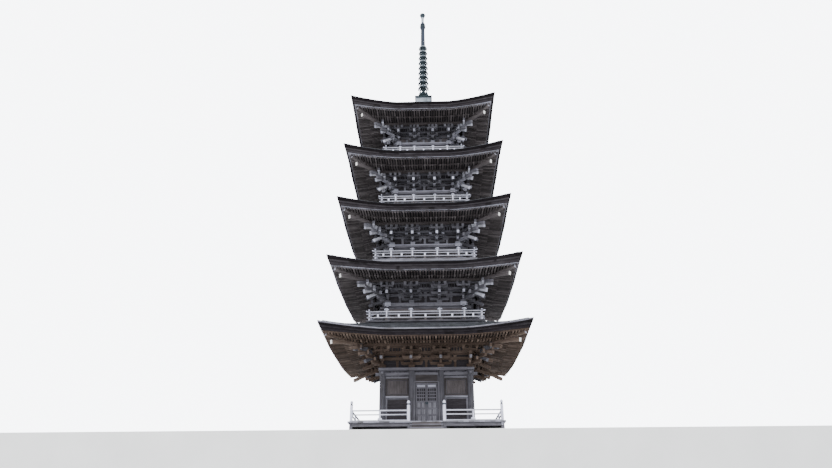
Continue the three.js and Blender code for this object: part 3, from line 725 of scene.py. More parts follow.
# Rafters, boards and hip rafters under each eave
eaveLook = dict(pitch=0.118, flyingWidth=0.058, flyingDepth=0.075, flyingEnd=0.205, baseWidth=0.066,
                baseDepth=0.078, baseLower=0.03, baseTip=0.075, lathDepth=0.025, lathInset=0.165,
                stepPaintedShade=0.5, hipWidth=0.12, hipDepth=0.15, hipStop=0.46, flyingHipStop=0.26, hipDrop=0.12,
                flyingHipDrop=0.08)


def thicken(low, depth):
    # closes a board's underside with its upper side
    return low + [(half, height + depth, *share) for half, height, *share in reversed(low)]


def addEaves(number, look):
    storey = storeySizes[number - 1]
    levels = eaveLevels(storey)
    lift, under, spread, stepLine, purlinLine = take(levels, "lift under spread stepLine purlinLine")
    columnLine, eaveLine, eaveTop = take(storey, "columnLine eaveLine eaveTop")
    flyingDepth, baseDepth = take(look, "flyingDepth baseDepth")
    wood = warm if number == 1 else brown
    flyingTip = eaveLine - look["flyingEnd"]
    lathTop = eaveTop - storey["lathTop"]
    lathBottom = lathTop - look["lathDepth"]

    def flyingBottom(half):
        return lathBottom - flyingDepth + eaveSizes["flyingSlope"] * (flyingTip - half)

    def tipLift(half, share):
        reach = max(0, (half - stepLine) / (eaveLine - stepLine))
        return lift(half, share) - reach * levels["deepen"](share)

    def baseBottom(half):
        return under(half) - look["baseLower"]

    work = startWork()
    # boards that step back under the shingle edge, dark with painted shade and darker still on the ground
    # storey, then the thin lath that the rafter ends touch
    shade = 0 if number > 1 else look["stepPaintedShade"]
    for inset, upper, upperShare, lower, lowerShare, tone in (
            (0.080, 0.080, 0.45, 0.150, 0.70, 0.9), (0.125, 0.150, 0.70, storey["lathTop"], 1.0, 0.6)):
        sweepRound(work, edgeBand(eaveLine - inset, 0.25, 0.006, (eaveTop - upper, upperShare),
                                  (eaveTop - lower, lowerShare)), darkShade, levels, tone=tone - shade)
    sweepRound(work, edgeBand(eaveLine - look["lathInset"], 0.15, 0.004, (lathTop, 1), (lathBottom, 1)),
               silver if number > 1 else warm, levels, tone=0.6)
    # boards over the flying and the base rafters, in dark timber that paints their shade
    span = eaveLine - stepLine
    low = [(half, flyingBottom(half) + flyingDepth - 0.004, max(0, (half - stepLine) / span))
           for half in (stepLine - 0.12, (stepLine + flyingTip) / 2, flyingTip + 0.02)]
    sweepRound(work, thicken(low, 0.022), darkShade, levels, tone=0.35)
    low = [(half, baseBottom(half) + baseDepth - 0.004)
           for half in (columnLine - 0.10, purlinLine, stepLine + 0.02)]
    sweepRound(work, thicken(low, 0.024), darkShade, levels, tone=0.3)
    # the lath on the base rafters that carries the flying ones
    bottom, top = baseBottom(stepLine) + baseDepth - 0.006, flyingBottom(stepLine) + 0.012
    sweepRound(work, [(stepLine - 0.06, top), (stepLine + 0.035, top), (stepLine + 0.028, bottom),
                      (stepLine - 0.06, bottom)], wood, levels, tone=0.6)
    # seat of the storey above
    inner = storeySizes[number]["columnLine"] - 0.15 if number < 5 else columnLine - 0.30
    seat, seatEdge = bodySeats[number], columnLine - 0.06
    sweepRound(work,
               [(inner, under(seatEdge)), (inner, seat), (seatEdge, seat),
                (columnLine - 0.02, baseBottom(columnLine) + baseDepth + 0.02),
                (seatEdge, under(seatEdge))], darkShade)
    side = startWork()

    def addRafter(x, outer, outerLift, inner, innerLift, bottom, width, depth):
        addBar(side, (x, -outer[0], bottom(outer[1]) + outerLift + depth / 2),
               (x, -inner, bottom(inner) + innerLift + depth / 2), width, depth, wood, wood)

    count = int(eaveLine / look["pitch"])
    for index in range(-count, count + 1):
        x = (index + 0.5) * look["pitch"]
        if abs(x) < eaveLine - 0.16:
            tip, root = flyingTip, max(abs(x) - 0.08, stepLine - 0.16)
            share = min(1, abs(x) / tip)
            addRafter(x, (tip + spread(tip, share), tip), tipLift(tip, share), root,
                      tipLift(root, abs(x) / root), flyingBottom, look["flyingWidth"], flyingDepth)
        if abs(x) < stepLine - 0.02:
            tip, root = stepLine + look["baseTip"], max(abs(x) - 0.08, columnLine - 0.06)
            mid = max(root, purlinLine)
            spots = [(tip, lift(tip, abs(x) / tip)), (mid, lift(mid, abs(x) / mid))]
            if mid > root:
                spots.append((root, 0))
            for (outer, outerLift), (inner, innerLift) in zip(spots, spots[1:]):
                addRafter(x, (outer, outer), outerLift, inner, innerLift, baseBottom, look["baseWidth"],
                          baseDepth)
    mitre(side)
    # hip rafters in two tiers with white ends; the lower one runs straight on past the base rafters
    flyingStop, baseStop = eaveLine - look["flyingHipStop"], eaveLine - look["hipStop"]
    flying = [(half, flyingBottom(half) + tipLift(half, 1) - look["flyingHipDrop"])
              for half in (stepLine - 0.10, stepLine + 0.15, (stepLine + flyingStop) / 2, flyingStop)]
    base = [(half, baseBottom(half) + lift(half, 1) - look["hipDrop"])
            for half in (columnLine, purlinLine, (purlinLine + stepLine) / 2, stepLine)]
    base.append((baseStop, base[-1][1] - eaveSizes["baseSlope"] * (baseStop - stepLine)))
    for spots, endFinish in ((flying, silver), (base, white)):
        for (first, low), (second, nextLow) in zip(spots, spots[1:]):
            addBar(side, onCorner(first, low + look["hipDepth"] / 2),
                   onCorner(second, nextLow + look["hipDepth"] / 2), look["hipWidth"], look["hipDepth"],
                   wood, endFinish if second == spots[-1][0] else wood, tone=0.9)
    finishSides(side, f"storey{number}Eaves", f"storey_{number}_eaves", work)


for number in range(1, 6):
    addEaves(number, eaveLook)
print("rafters laid")

# Bracket sets under each eave: three steps outwards, tail rafters, beams, struts and the purlin
bracketLook = dict(armWidth=0.085, armShare=0.60, blockShare=0.40, blockWidth=0.135, tailBlock=0.13,
                   purlinBlock=0.115, noseDepths=(0.12, 0.15, 0.145), noseWidth=0.08,
                   noseLengths=(0.40, 0.50, 0.60), noseSlopes=(0.42, 0.16, -0.06), noseCap=0.085,
                   scroll=0.085, scrollInset=0.25, scrollDrop=0.06, tailWidth=0.10, tailDepth=0.125,
                   tailSlope=0.35, tailReach=0.16, tailDrop=0.08, purlinArmDrop=0.20, purlinArmDepth=0.072,
                   purlinWidth=0.11, purlinEnd=0.16, ribPitch=0.12, ribWidth=0.034, strutWidth=0.10,
                   boardDepth=0.02)
# one row a storey: sizes, finishes, and the tip and height of each nose at the corners; the ground storey's
# darker finishes are partly painted shade for the deep shadow under its eave
bracketSizes = asTable("bigBlock wallArm crossArm purlinArm plain light bright tipFinish boards purlin noses",
                       (0.27, 0.40, 0.33, 0.27, warm, warm, grey, grey, darkShade, warm,
                        ((2.53, 3.07), (2.68, 3.32), (2.92, 3.48))),
                       (0.22, 0.38, 0.31, 0.25, grey, grey, silver, pale, darkShade, brown,
                        ((2.52, 5.885), (2.65, 6.06), (2.87, 6.285))),
                       (0.21, 0.34, 0.28, 0.23, grey, silver, pale, pale, darkShade, brown,
                        ((2.33, 8.64), (2.47, 8.91), (2.70, 9.095))),
                       (0.20, 0.30, 0.26, 0.21, grey, silver, pale, pale, darkShade, brown,
                        ((2.17, 11.36), (2.31, 11.755), (2.54, 11.94))),
                       (0.19, 0.23, 0.20, 0.17, grey, silver, silver, pale, brown, brown,
                        ((2.00, 14.16), (2.12, 14.585), (2.40, 14.76))))
discShape = columnShape(1, 12)


def addBracketSide(side, number, levels, look, sizes):
    columnLine, plateTop, doors = take(storeySizes[number - 1], "columnLine plateTop doorColumn")
    step, tier, purlinBottom, purlinLine = take(levels, "step tier purlinBottom purlinLine")
    plain, light, bright, tipFinish = take(sizes, "plain light bright tipFinish")
    first, second, third = levels["courses"]
    depth, blockHeight = look["armShare"] * tier, look["blockShare"] * tier
    width, tailDepth, slope = take(look, "armWidth tailDepth tailSlope")
    lines = [columnLine + index * step for index in range(4)]

    def block(x, half, z, wide=look["blockWidth"], tall=blockHeight, finish=light):
        stamp(side, blockShape, finish, move((x, -half, z)), (wide, wide, tall))

    def crossArm(x, half, z, reach):
        addArm(side, move((x, -half, z)), 2 * reach + 0.10, width, depth, plain, light)
        for offset in (-reach, 0, reach):
            block(x + offset, half, z + depth, finish=light if half > columnLine else plain)

    for x in (-columnLine, -doors, doors):
        block(x, columnLine, plateTop, sizes["bigBlock"], 0.13)
    for x in (-columnLine, -doors, doors, columnLine):
        for index, height in enumerate((first, second)):
            addArm(side, move((x, -columnLine, height)) @ turned(-quarter), (index + 1) * step + 0.115,
                   width, depth, plain, light, bothEnds=False)
            block(x, lines[index + 1], height + depth)
        if abs(x) != columnLine:
            crossArm(x, columnLine, first, sizes["wallArm"])
            crossArm(x, lines[1], second, sizes["crossArm"])
            crossArm(x, lines[2], third, sizes["crossArm"])
            for offset in (-sizes["wallArm"], 0, sizes["wallArm"]):
                block(x + offset, columnLine, second + depth, finish=plain)
        # tail rafter, its block and the short arm that carries the purlin
        nose, inner, centre = purlinLine + look["tailReach"], columnLine - 0.03, second - look["tailDrop"]
        addBar(side, (x, -inner, centre + slope * (nose - inner)), (x, -nose, centre), look["tailWidth"],
               tailDepth, plain, bright, tone=0.85)
        seat = centre + slope * look["tailReach"] + tailDepth / 2 - 0.004
        armBottom = purlinBottom - look["purlinArmDrop"]
        armTop = armBottom + look["purlinArmDepth"]
        addArm(side, move((x, -purlinLine, armBottom)), 2 * sizes["purlinArm"] + 0.08, width * 0.9,
               look["purlinArmDepth"], plain, plain)
        block(x, purlinLine, seat, look["tailBlock"], armBottom - seat + 0.003, plain)
        for offset in (-sizes["purlinArm"], 0, sizes["purlinArm"]):
            block(x + offset, purlinLine, armTop, look["purlinBlock"], purlinBottom - armTop + 0.002, plain)
    # long beams over the arms, crossing at the corners
    for half, height, reach in ((columnLine, second, 0.20), (columnLine, third, 0.20),
                                (lines[1], third, 0.18), (lines[2], purlinBottom, 0.12)):
        addBeam(side, half + reach, half, height + depth / 2, width, depth, plain, plain, tone=0.62)
    # pale carved noses of the corner arms, one in each step, with a lighter tip; storeys 4 and 5 add a scroll
    noses = zip(sizes["noses"], lines[1:], look["noseLengths"], look["noseSlopes"], look["noseDepths"])
    for index, ((tip, height), half, length, rise, deep) in enumerate(noses):
        for lean in (-1, 1):
            for start, end, extra, tone in ((length, 0, 0, 0.1), (look["noseCap"], -0.003, 0.008, 0.8)):
                addBar(side, (lean * (tip - start), -half, height + rise * start),
                       (lean * (tip - end), -half, height + rise * end), look["noseWidth"] + extra,
                       deep + extra, tipFinish, plain, tone=tone)
            if index == 0 and number > 3:
                for radius, thick, finish in ((look["scroll"], 0.075, silver),
                                              (look["scroll"] * 0.5, 0.083, plain)):
                    spot = move((lean * (tip - look["scrollInset"]), -half + thick / 2,
                                 height - look["scrollDrop"]))
                    stamp(side, discShape, finish, spot @ turned(quarter, "X"), (radius, radius, thick),
                          tone=0.5)
    # struts in the middle of each bay, with a block on each
    for x in (-(columnLine + doors) / 2, 0, (columnLine + doors) / 2):
        addBox(side, around(x, look["strutWidth"] / 2), (-columnLine - 0.035, -columnLine + 0.03),
               (plateTop, first + depth), light, 2, tone=0.3)
        block(x, columnLine, first + depth, finish=plain)
        block(x, columnLine, second + depth, finish=plain)
    # diagonal arms at the corner, two of them tail rafters
    diagonal = turned(-math.radians(135))
    for index, height in enumerate((first, second, third)):
        length = (index + 1) * step * math.sqrt(2) + (0.24 if index == 0 else 0.15)
        addArm(side, move((-columnLine, -columnLine, height + 0.001)) @ diagonal, length, width * 1.4,
               depth, light, plain, bothEnds=False, tone=0.5)
        stamp(side, blockShape, plain, move(onCorner(lines[index + 1], height + depth)) @ diagonal,
              (0.16, 0.16, blockHeight))
    for drop, nose in ((0.9, purlinLine + 0.10), (0.1, levels["reach"] + 0.10)):
        centre = third + 0.5 * depth - drop * tier
        addBar(side, onCorner(columnLine + 0.02, centre + slope * (nose - columnLine)),
               onCorner(nose, centre), look["tailWidth"] * 1.2, tailDepth, plain, plain, tone=0.9)
    # ribs that lean out between the first and the second ring beam, and the small ceiling inside them
    low, high = third + depth * 0.5, purlinBottom + depth * 0.5
    count = int(lines[2] / look["ribPitch"])
    for index in range(-count, count + 1):
        x = (index + 0.5) * look["ribPitch"]
        if abs(x) < lines[1] - 0.03:
            addBar(side, (x, -lines[1], low + 0.02), (x, -lines[2], high), look["ribWidth"], 0.04, plain)
            addBox(side, around(x, look["ribWidth"] / 2), (-lines[1], -columnLine),
                   (third + depth - 0.03, third + depth), plain, 1)


def addBrackets(number, look, sizes):
    columnLine, plateTop = take(storeySizes[number - 1], "columnLine plateTop")
    levels = eaveLevels(storeySizes[number - 1])
    step, purlinBottom, purlinTop, purlinLine = take(levels, "step purlinBottom purlinTop purlinLine")
    third, depth, board = levels["courses"][2], look["armShare"] * levels["tier"], look["boardDepth"]
    # boards behind the arms, boards over the ribs and the small ceiling, mostly dark timber that paints the
    # shade behind the brackets
    work, side = startWork(), startWork()
    back = columnLine - 0.005
    sweepBelt(work, back - 0.05, back, plateTop, levels["under"](back) - 0.01, sizes["boards"], tone=0.9)
    low, high = third + depth * 0.5, purlinBottom + depth * 0.5
    first, second = columnLine + step, columnLine + 2 * step
    sweepRound(work,
               [(first, low + 0.045), (second, high + 0.025), (second, high + 0.045), (first, low + 0.065)],
               darkShade, tone=0.9)
    sweepBelt(work, columnLine, first, third + depth, third + depth + board, darkShade, tone=0.9)
    addBracketSide(side, number, levels, look, sizes)
    finishSides(side, f"storey{number}Brackets", f"storey_{number}_brackets", work)
    # the purlin, with crossing ends at the corners
    side = startWork()
    addBeam(side, purlinLine + look["purlinEnd"], purlinLine, (purlinBottom + purlinTop) / 2,
            look["purlinWidth"], purlinTop - purlinBottom - 0.004, sizes["purlin"], brown, tone=0.4)
    finishSides(side, f"storey{number}Purlins", f"storey_{number}_purlins")


for number in range(1, 6):
    addBrackets(number, bracketLook, bracketSizes[number - 1])
print("brackets set")

# Upper storeys: columns, ties, planks, a pair of doors and barred windows on each side
bodyLook = dict(plateDepth=0.15, plateLip=0.035, plateEnd=0.10, tieDepth=0.10, tieHalf=0.045,
                noseReach=0.24, plankWidth=0.17, railDepth=0.085, railWidth=0.07, barWidth=0.034,
                barPitch=0.068, frameWidth=0.055, battenHalf=0.02, battenInset=0.14, sillShare=0.36,
                sillDepth=0.05)


def addPlanks(work, x, y, z, width, finish, tone=None):
    # upright boards side by side with narrow open joints
    count = max(1, round((x[1] - x[0]) / width))
    step = (x[1] - x[0]) / count
    for index in range(count):
        left = x[0] + index * step
        shift = random.uniform(-0.002, 0.002)
        addBox(work, (left + 0.0015, left + step - 0.0015), (y[0] + shift, y[1]), z, finish, 2, tone)


def addFrame(work, x, y, z, width, finish, tone=None):
    for stile in ((x[0], x[0] + width), (x[1] - width, x[1])):
        addBox(work, stile, y, z, finish, 2, tone)
    for rail in ((z[0], z[0] + width), (z[1] - width, z[1])):
        addBox(work, (x[0] + width, x[1] - width), (y[0] + 0.001, y[1]), rail, finish, 0, tone)


def addUpperBody(number, look):
    columnLine, doors, radius, plateTop = take(storeySizes[number - 1],
                                               "columnLine doorColumn columnRadius plateTop")
    seat, floorTop = bodySeats[number - 1], balconySizes[number - 2]["floorTop"]
    plateDepth, tieDepth, railDepth, frame = take(look, "plateDepth tieDepth railDepth frameWidth")
    plateBottom = plateTop - plateDepth
    tieBottom = plateBottom - tieDepth
    wall, front = columnLine - 0.02, columnLine + 0.02
    work, side = startWork(), startWork()
    # the wall behind the columns and the door and window planks are dark timber: old dark wood and painted
    # shade under the balcony and the brackets
    sweepBelt(work, columnLine - radius - 0.02, wall, seat, plateBottom, darkShade, tone=0.7)
    column = columnShape(radius)
    for x in (-columnLine, -doors, doors):
        stamp(side, column, grey, move((x, -columnLine, seat)), (1, 1, plateBottom - seat), tone=0.45)
    # head tie with noses, waist rail and window rail
    addBeam(side, columnLine + radius + look["noseReach"], columnLine, (tieBottom + plateBottom) / 2,
            look["tieHalf"] * 2, tieDepth - 0.006, grey, silver, tone=0.45)
    face = columnLine + radius - 0.035
    rails = [floorTop + 0.035, tieBottom - railDepth - 0.02]
    for low in rails:
        addBeam(side, face + 0.045, face, low + railDepth / 2, look["railWidth"], railDepth, brown, grey,
                tone=0.9)
    low, high = rails[0] + railDepth, rails[1]
    # doors in the middle bay, in a frame
    inner = doors - radius + 0.01
    addFrame(side, (-inner, inner), (-front - 0.03, -wall), (low, high), frame, brown, tone=0.8)
    leaf = inner - frame
    for left, right in ((-leaf, -0.003), (0.003, leaf)):
        addPlanks(side, (left, right), (-front + 0.005, -wall), (low + frame, high - frame), 0.13, darkShade,
                  tone=0.8)
        for z in (low + look["battenInset"], (low + high) / 2, high - look["battenInset"]):
            addBox(side, (left + 0.006, right - 0.006), (-front - 0.012, -front + 0.01),
                   around(z, look["battenHalf"]), brown)
    # barred windows and planks in the outer bays
    for lean in (-1, 1):
        left, right = sorted((lean * (doors + radius - 0.01), lean * (columnLine - radius + 0.01)))
        inside = (left + frame, right - frame)
        addFrame(side, (left, right), (-front - 0.02, -wall), (low, high), frame, brown, tone=0.7)
        sill = low + (high - low) * look["sillShare"]
        addPlanks(side, inside, (-front + 0.012, -wall), (low + frame, sill), look["plankWidth"], darkShade)
        addBox(side, inside, (-front - 0.018, -wall), (sill, sill + look["sillDepth"]), brown, tone=0.8)
        x = left + frame + look["barPitch"] / 2
        while x < right - frame - 0.02:
            addBox(side, around(x, look["barWidth"] / 2), (-front, -wall),
                   (sill + look["sillDepth"], high - frame), brown, 2)
            x += look["barPitch"]
    # the broad plate that the bracket sets stand on, its upper strip silver on storeys 3 to 5: a painted
    # highlight on a band that lies in the brackets' shadow
    end = columnLine + radius + look["plateEnd"]
    for low, high, lip, finish in ((0.052, 0, 0, silver if number > 2 else grey),
                                   (plateDepth, 0.05, 0.012, grey)):
        addBeam(side, end - lip, columnLine, plateTop - (low + high) / 2,
                2 * (radius + look["plateLip"] - lip), low - high, finish, silver, tone=1.0)
    finishSides(side, f"storey{number}Body", f"storey_{number}_body", work)


for number in range(2, 6):
    addUpperBody(number, bodyLook)
print("upper storeys framed")

# Balconies and their rails
balconyLook = dict(
    boardWidth=0.17, boardDepth=0.032, overhang=0.13, skirtDepth=0.19, groundRail=(0.140, 0.172),
    middleRail=(0.292, 0.320), topRail=(0.392, 0.424), railWidth=0.040, topWidth=0.046, groundWidth=0.055,
    crossing=0.15, upturn=0.035, capHeight=0.075, neckRadius=0.030, postWidth=0.056, strutWidth=0.072,
    strutHalf=0.024, footHalf=0.034, footReach=0.045)


def makeCap(radius, height, neck, neckHeight):
    # mushroom cap on a thin neck
    rounding = ((1, 0.22), (0.98, 0.4), (0.78, 0.75), (0.4, 0.95))
    return turnedShape([(0, 0), (neck, 0), (neck, neckHeight * 0.6), (neck * 1.5, neckHeight),
                        (radius * 0.8, neckHeight + 0.004)]
                       + [(radius * wide, neckHeight + height * tall) for wide, tall in rounding]
                       + [(0, neckHeight + height)], 14)


def addBalcony(number, look):
    columnLine, radius = take(storeySizes[number - 1], "columnLine columnRadius")
    floorTop, railLine, bandDepth = take(balconySizes[number - 2], "floorTop railLine bandDepth")
    outer, low = railLine + look["overhang"], floorTop - look["boardDepth"]
    edge = silver if number > 2 else grey
    work, side = startWork(), startWork()
    sweepBelt(work, outer - 0.14, outer - 0.018, low - bandDepth, low, edge)
    sweepBelt(work, columnLine + radius, railLine - 0.07, floorTop - look["skirtDepth"], low, grey,
              tone=0.4)
    count = round(2 * outer / look["boardWidth"])
    step = 2 * outer / count
    for index in range(count):
        left = -outer + index * step
        end = outer + random.uniform(-0.006, 0.0)
        addBox(side, (left + 0.002, left + step - 0.002), (-end, -(columnLine + radius * 0.4)),
               (low, floorTop), edge, 1, tone=random.uniform(0.1, 0.7))
    mitre(side)
    finishSides(side, f"storey{number}Balcony", f"storey_{number}_balcony", work)


def addRails(side, line, base, heights, look, crossing, gap=None):
    # ground rail, middle rail and top rail; the top rail's ends sweep up where they cross
    ground, middle, (low, high) = heights
    rise, z = look["upturn"], base + (low + high) / 2
    for left, right in [(-line, line)] if gap is None else [(-line, -gap), (gap, line)]:
        first = left - crossing if left == -line else left
        last = right + crossing if right == line else right
        for (lower, upper), width, end in ((ground, look["groundWidth"], 0.7),
                                           (middle, look["railWidth"], 0.8)):
            centre = base + (lower + upper) / 2
            addBar(side, (left - (left - first) * end, -line, centre),
                   (right + (last - right) * end, -line, centre), width, upper - lower, pale, pale,
                   tone=0.3)
        addBar(side, (left, -line, z), (right, -line, z), look["topWidth"], high - low, pale, pale,
               tone=0.35)
        for inner, tip in ((left, first), (right, last)):
            if tip != inner:
                for start, stop, startRise, stopRise in ((0, 0.55, 0, 0.35), (0.52, 1, 0.33, 1)):
                    addBar(side, (inner + (tip - inner) * start, -line, z + rise * startRise),
                           (inner + (tip - inner) * stop, -line, z + rise * stopRise),
                           look["topWidth"], high - low, pale, pale, tone=0.9)


def addRailing(number, look):
    floorTop, line, outer, railRise, capRadius, capLift = take(
        balconySizes[number - 2], "floorTop railLine outerPost railRise capRadius capLift")
    doors = storeySizes[number - 1]["doorColumn"]
    rails = [(low + railRise, high + railRise) for low, high in take(look, "groundRail middleRail topRail")]
    ground, middle, height = rails[0], rails[1], rails[2][1]
    side = startWork()
    addRails(side, line, floorTop, rails, look, look["crossing"])
    post = look["postWidth"] / 2
    addBox(side, around(-line, post), around(-line, post), (floorTop, floorTop + height - 0.05), pale, 2,
           tone=0.7)
    cap = makeCap(capRadius, look["capHeight"], look["neckRadius"], capLift)
    for x in (-outer, -doors, doors, outer):
        addBox(side, around(x, post), around(-line, post), (floorTop, floorTop + height - 0.006), pale, 2,
               tone=0.8)
        stamp(side, cap, pale, move((x, -line, floorTop + height - 0.008)), tone=0.9)
    for x in (-(line + outer) / 2, -(outer + doors) / 2, 0, (outer + doors) / 2, (line + outer) / 2):
        addBox(side, around(x, look["strutWidth"] / 2), around(-line, look["strutHalf"]),
               (floorTop + ground[1] - 0.002, floorTop + middle[0] + 0.002), pale, 2, tone=0.95)
    for x in (-outer, -doors, 0, doors, outer):
        addBox(side, around(x, look["footReach"]), around(-line, look["footHalf"]),
               (floorTop, floorTop + ground[0] + 0.002), brown)
    finishSides(side, f"storey{number}Railing", f"storey_{number}_railing")


for number in range(2, 6):
    addBalcony(number, balconyLook)
    addRailing(number, balconyLook)
print("balconies railed")

# Stone base, veranda and steps
baseLook = dict(half=3.25, top=0.16, edgeWidth=0.46, edgeStones=7, paving=0.62, bevel=0.018, railLine=2.86,
                deckInner=1.91, deckHalf=2.98, deckTop=0.60, deckDepth=0.06, boardWidth=0.20,
                entranceHalf=0.68, beamHalf=0.055, beamDepth=0.13, postHalf=0.06, joistEnd=2.4,
                joistPitch=0.6)
stepsLook = dict(count=3, treadHalf=0.62, innerHalf=0.54, outerHalf=0.60, depth=0.28, rise=0.15, gap=0.0003)
railingLook = dict(groundWidth=0.078, railWidth=0.046, topWidth=0.050, upturn=0.0,
                   heights=((0.0, 0.05), (0.225, 0.265), (0.375, 0.420)),
                   shaft=((0, 0), (0.060, 0), (0.060, 0.02), (0.057, 0.03), (0.056, 0.59), (0.050, 0.605),
                          (0, 0.605)),
                   collar=((0, 0.595), (0.052, 0.595), (0.056, 0.602), (0.056, 0.626), (0.050, 0.634),
                           (0.036, 0.642), (0.034, 0.658), (0, 0.658)),
                   dome=((0, 0.652), (0.036, 0.652), (0.052, 0.666), (0.057, 0.688), (0.056, 0.712),
                         (0.046, 0.740), (0.024, 0.762), (0.008, 0.778), (0, 0.780)),
                   foot=(0.17, 0.05, 0.07), footTop=0.128, strut=(0.048, 0.048, 0.35), strutMiddle=0.21,
                   strutLine=1.6)


def onSide(lean, inner, outer):
    # from inner to outer on the left (-1) or the right (1) of the middle
    return sorted((lean * inner, lean * outer))


def addStoneBase(look):
    half, top, width, depth = take(look, "half top edgeWidth paving")
    work, side = startWork(), startWork()
    core = around(0, half - 0.10)
    addBox(work, core, core, (0.0, top - 0.02), stone, tone=0.3)
    step = (2 * half - width) / look["edgeStones"]
    for index in range(look["edgeStones"]):
        left = -half + index * step
        drop = random.uniform(0, 0.004)
        addSoftBox(side, (left + 0.0025, left + step - 0.0025),
                   (-half + random.uniform(0, 0.004), -half + width - 0.003), (0.0, top - drop),
                   look["bevel"], stone, tone=random.random())
    row = half - width
    while row > 0.4:
        count = max(1, round((2 * row - depth) / depth))
        step = (2 * row - depth) / count
        for index in range(count):
            left = -row + index * step
            addSoftBox(side, (left + 0.003, left + step - 0.003), (-row + 0.002, -row + depth - 0.003),
                       (top - 0.08, top - random.uniform(0.003, 0.008)), 0.008, stone, segments=1,
                       tone=random.random())
        row -= depth
    finishSides(side, "stoneBase", "stone_base", work, smoothAngle=50)


def addVerandaFrame(look):
    line, ground, post, gap = take(look, "railLine top postHalf entranceHalf")
    top = look["deckTop"] - look["deckDepth"]
    low = top - look["beamDepth"]
    side = startWork()
    addBeam(side, line + 0.055, line, (low + top) / 2, 2 * look["beamHalf"], look["beamDepth"] - 0.002,
            grey, pale, tone=0.7)
    for x in (-line, -gap, gap):
        addSoftBox(side, around(x, post), around(-line, post), (ground + 0.035, low + 0.02), 0.008, grey, 2,
                   1, 0.6)
        addSoftBox(side, around(x, post), around(-line, post + 0.0001), (ground - 0.01, ground + 0.04),
                   0.014, stone, tone=0.8)
    x = -look["joistEnd"]
    while x < look["joistEnd"] + 0.1:
        addBar(side, (x, -line + 0.05, top - 0.045), (x, -look["deckInner"] - 0.01, top - 0.045), 0.06,
               0.085, grey)
        x += look["joistPitch"]
    addBeam(side, 1.9, 2.35, low + 0.03, 0.075, 0.09, grey)
    finishSides(side, "verandaFrame", "veranda_frame")


def addVerandaFloor(look):
    half, inner, top = take(look, "deckHalf deckInner deckTop")
    side = startWork()
    count = round(2 * half / look["boardWidth"])
    step = 2 * half / count
    for index in range(count):
        left = -half + index * step
        addBox(side, (left + 0.002, left + step - 0.002), (-half + random.uniform(0, 0.006), -inner),
               (top - look["deckDepth"], top - random.uniform(0, 0.0025)), silver, 1)
    mitre(side)
    finishSides(side, "verandaFloor", "veranda_floor")


def addSteps(look, base):
    half, inner, outer, depth, rise, gap = take(look, "treadHalf innerHalf outerHalf depth rise gap")
    back = base["deckHalf"] + gap
    work = startWork()
    for index in range(look["count"]):
        top, rear = base["deckTop"] - (index + 1) * rise, -back - index * depth
        low = base["top"] + gap if index == 0 else 0.0
        addSoftBox(work, (-half, half), (rear - depth, rear), (top - 0.05, top), 0.007, grey,
                   tone=0.75 + 0.05 * index)
        addBox(work, (-inner, inner), (rear - 0.03, rear - 0.005), (top, top + rise - 0.052), brown)
        for lean in (-1, 1):
            addBox(work, onSide(lean, inner, outer), (rear - depth + 0.02, rear), (low, top - 0.048), grey,
                   1, tone=0.6)
    front = -back - look["count"] * depth
    addBox(work, (-inner, inner), (front + 0.03, front + 0.05), (0.0, 0.102), brown)
    finishPiece(work, "entranceSteps", "entrance_steps")


def addVerandaRailing(look, base):
    line, gap, floor = take(base, "railLine entranceHalf deckTop")
    work, front, others = startWork(), startWork(), startWork()
    addRails(front, line, floor, look["heights"], look, 0.0, gap)
    addRails(others, line, floor, look["heights"], look, 0.0)
    pour(work, front, 1)
    pour(work, others, 4, 1)
    # round posts: a shaft, a dark metal ring, a thin neck and a domed cap
    shaft, collar, dome = [turnedShape(profile, 20) for profile in take(look, "shaft collar dome")]
    for x, y in [(x, y) for x in (-line, line) for y in (-line, line)] + [(-gap, -line), (gap, -line)]:
        for shape, finish, tone in ((shaft, pale, 0.95), (collar, bronze, None), (dome, pale, 0.95)):
            stamp(work, shape, finish, move((x, y, floor)), tone=tone)
    # struts between the rails, with small curved feet
    foot, middle, far = makeArm(*look["foot"], True), (gap + line) / 2, look["strutLine"]
    struts = [(x, -line, 0) for x in (-middle, middle)] + [(0, line, 0), (-line, 0, 1), (line, 0, 1)]
    struts += [(x, line, 0) for x in (-far, far)] + [(x, y, 1) for x in (-line, line) for y in (-far, far)]
    for x, y, turn in struts:
        spot = move((x, y, floor)) @ turned(turn * quarter)
        stamp(work, foot, pale, spot @ move((0, 0, look["footTop"])) @ turned(math.pi, "X"), tone=0.9)
        stamp(work, boxShapes[2], pale, spot @ move((0, 0, look["strutMiddle"])), look["strut"], tone=0.9)
    finishPiece(work, "verandaRailing", "veranda_railing")


addStoneBase(baseLook)
addVerandaFrame(baseLook)
addVerandaFloor(baseLook)
addSteps(stepsLook, baseLook)
addVerandaRailing(railingLook, baseLook)
print("base and veranda built")

# Ground storey: frame, walls with shuttered windows, closed doors on three sides, floor and ceiling
groundLook = dict(wallOuter=1.74, wallInner=1.61, floorTop=0.61, sillTop=0.69, waist=(1.655, 1.73),
                  head=(2.43, 2.50), tie=(2.54, 2.66), plateBottom=2.73, jambInner=0.44, doorTop=2.23,
                  doorFace=1.86, plank=0.165, columnFoot=0.16, columnLength=2.575, sillInner=1.65,
                  sillOuter=1.905, pad=((0, 0.16), (0.20, 0.16), (0.19, 0.185), (0.155, 0.195), (0, 0.195)),
                  tieLine=1.7826, tieWidth=0.084, plateHalf=1.95, plateLine=1.815, plateMiddle=2.785,
                  plateWidth=0.269, plateDepth=0.109, shutterFrame=0.07, shutterEdge=0.016, panelBoards=5,
                  ceilingHalf=1.65)
leafLook = dict(stile=0.05, rail=0.06, plate=0.028, rails=((0.255, 0.295), (0.515, 0.555), (0.775, 0.83)),
                upperRails=((0.215, 0.16), (0.07, 0)), crossings=4)
doorLook = dict(low=0.695, high=2.225, face=-1.850, back=-1.805, meeting=0.004, edge=0.428, pinX=0.412,
                pinY=-1.834, pinRadius=0.0108, pullX=0.028, pull=(1.405, 1.475), ringTop=1.412)


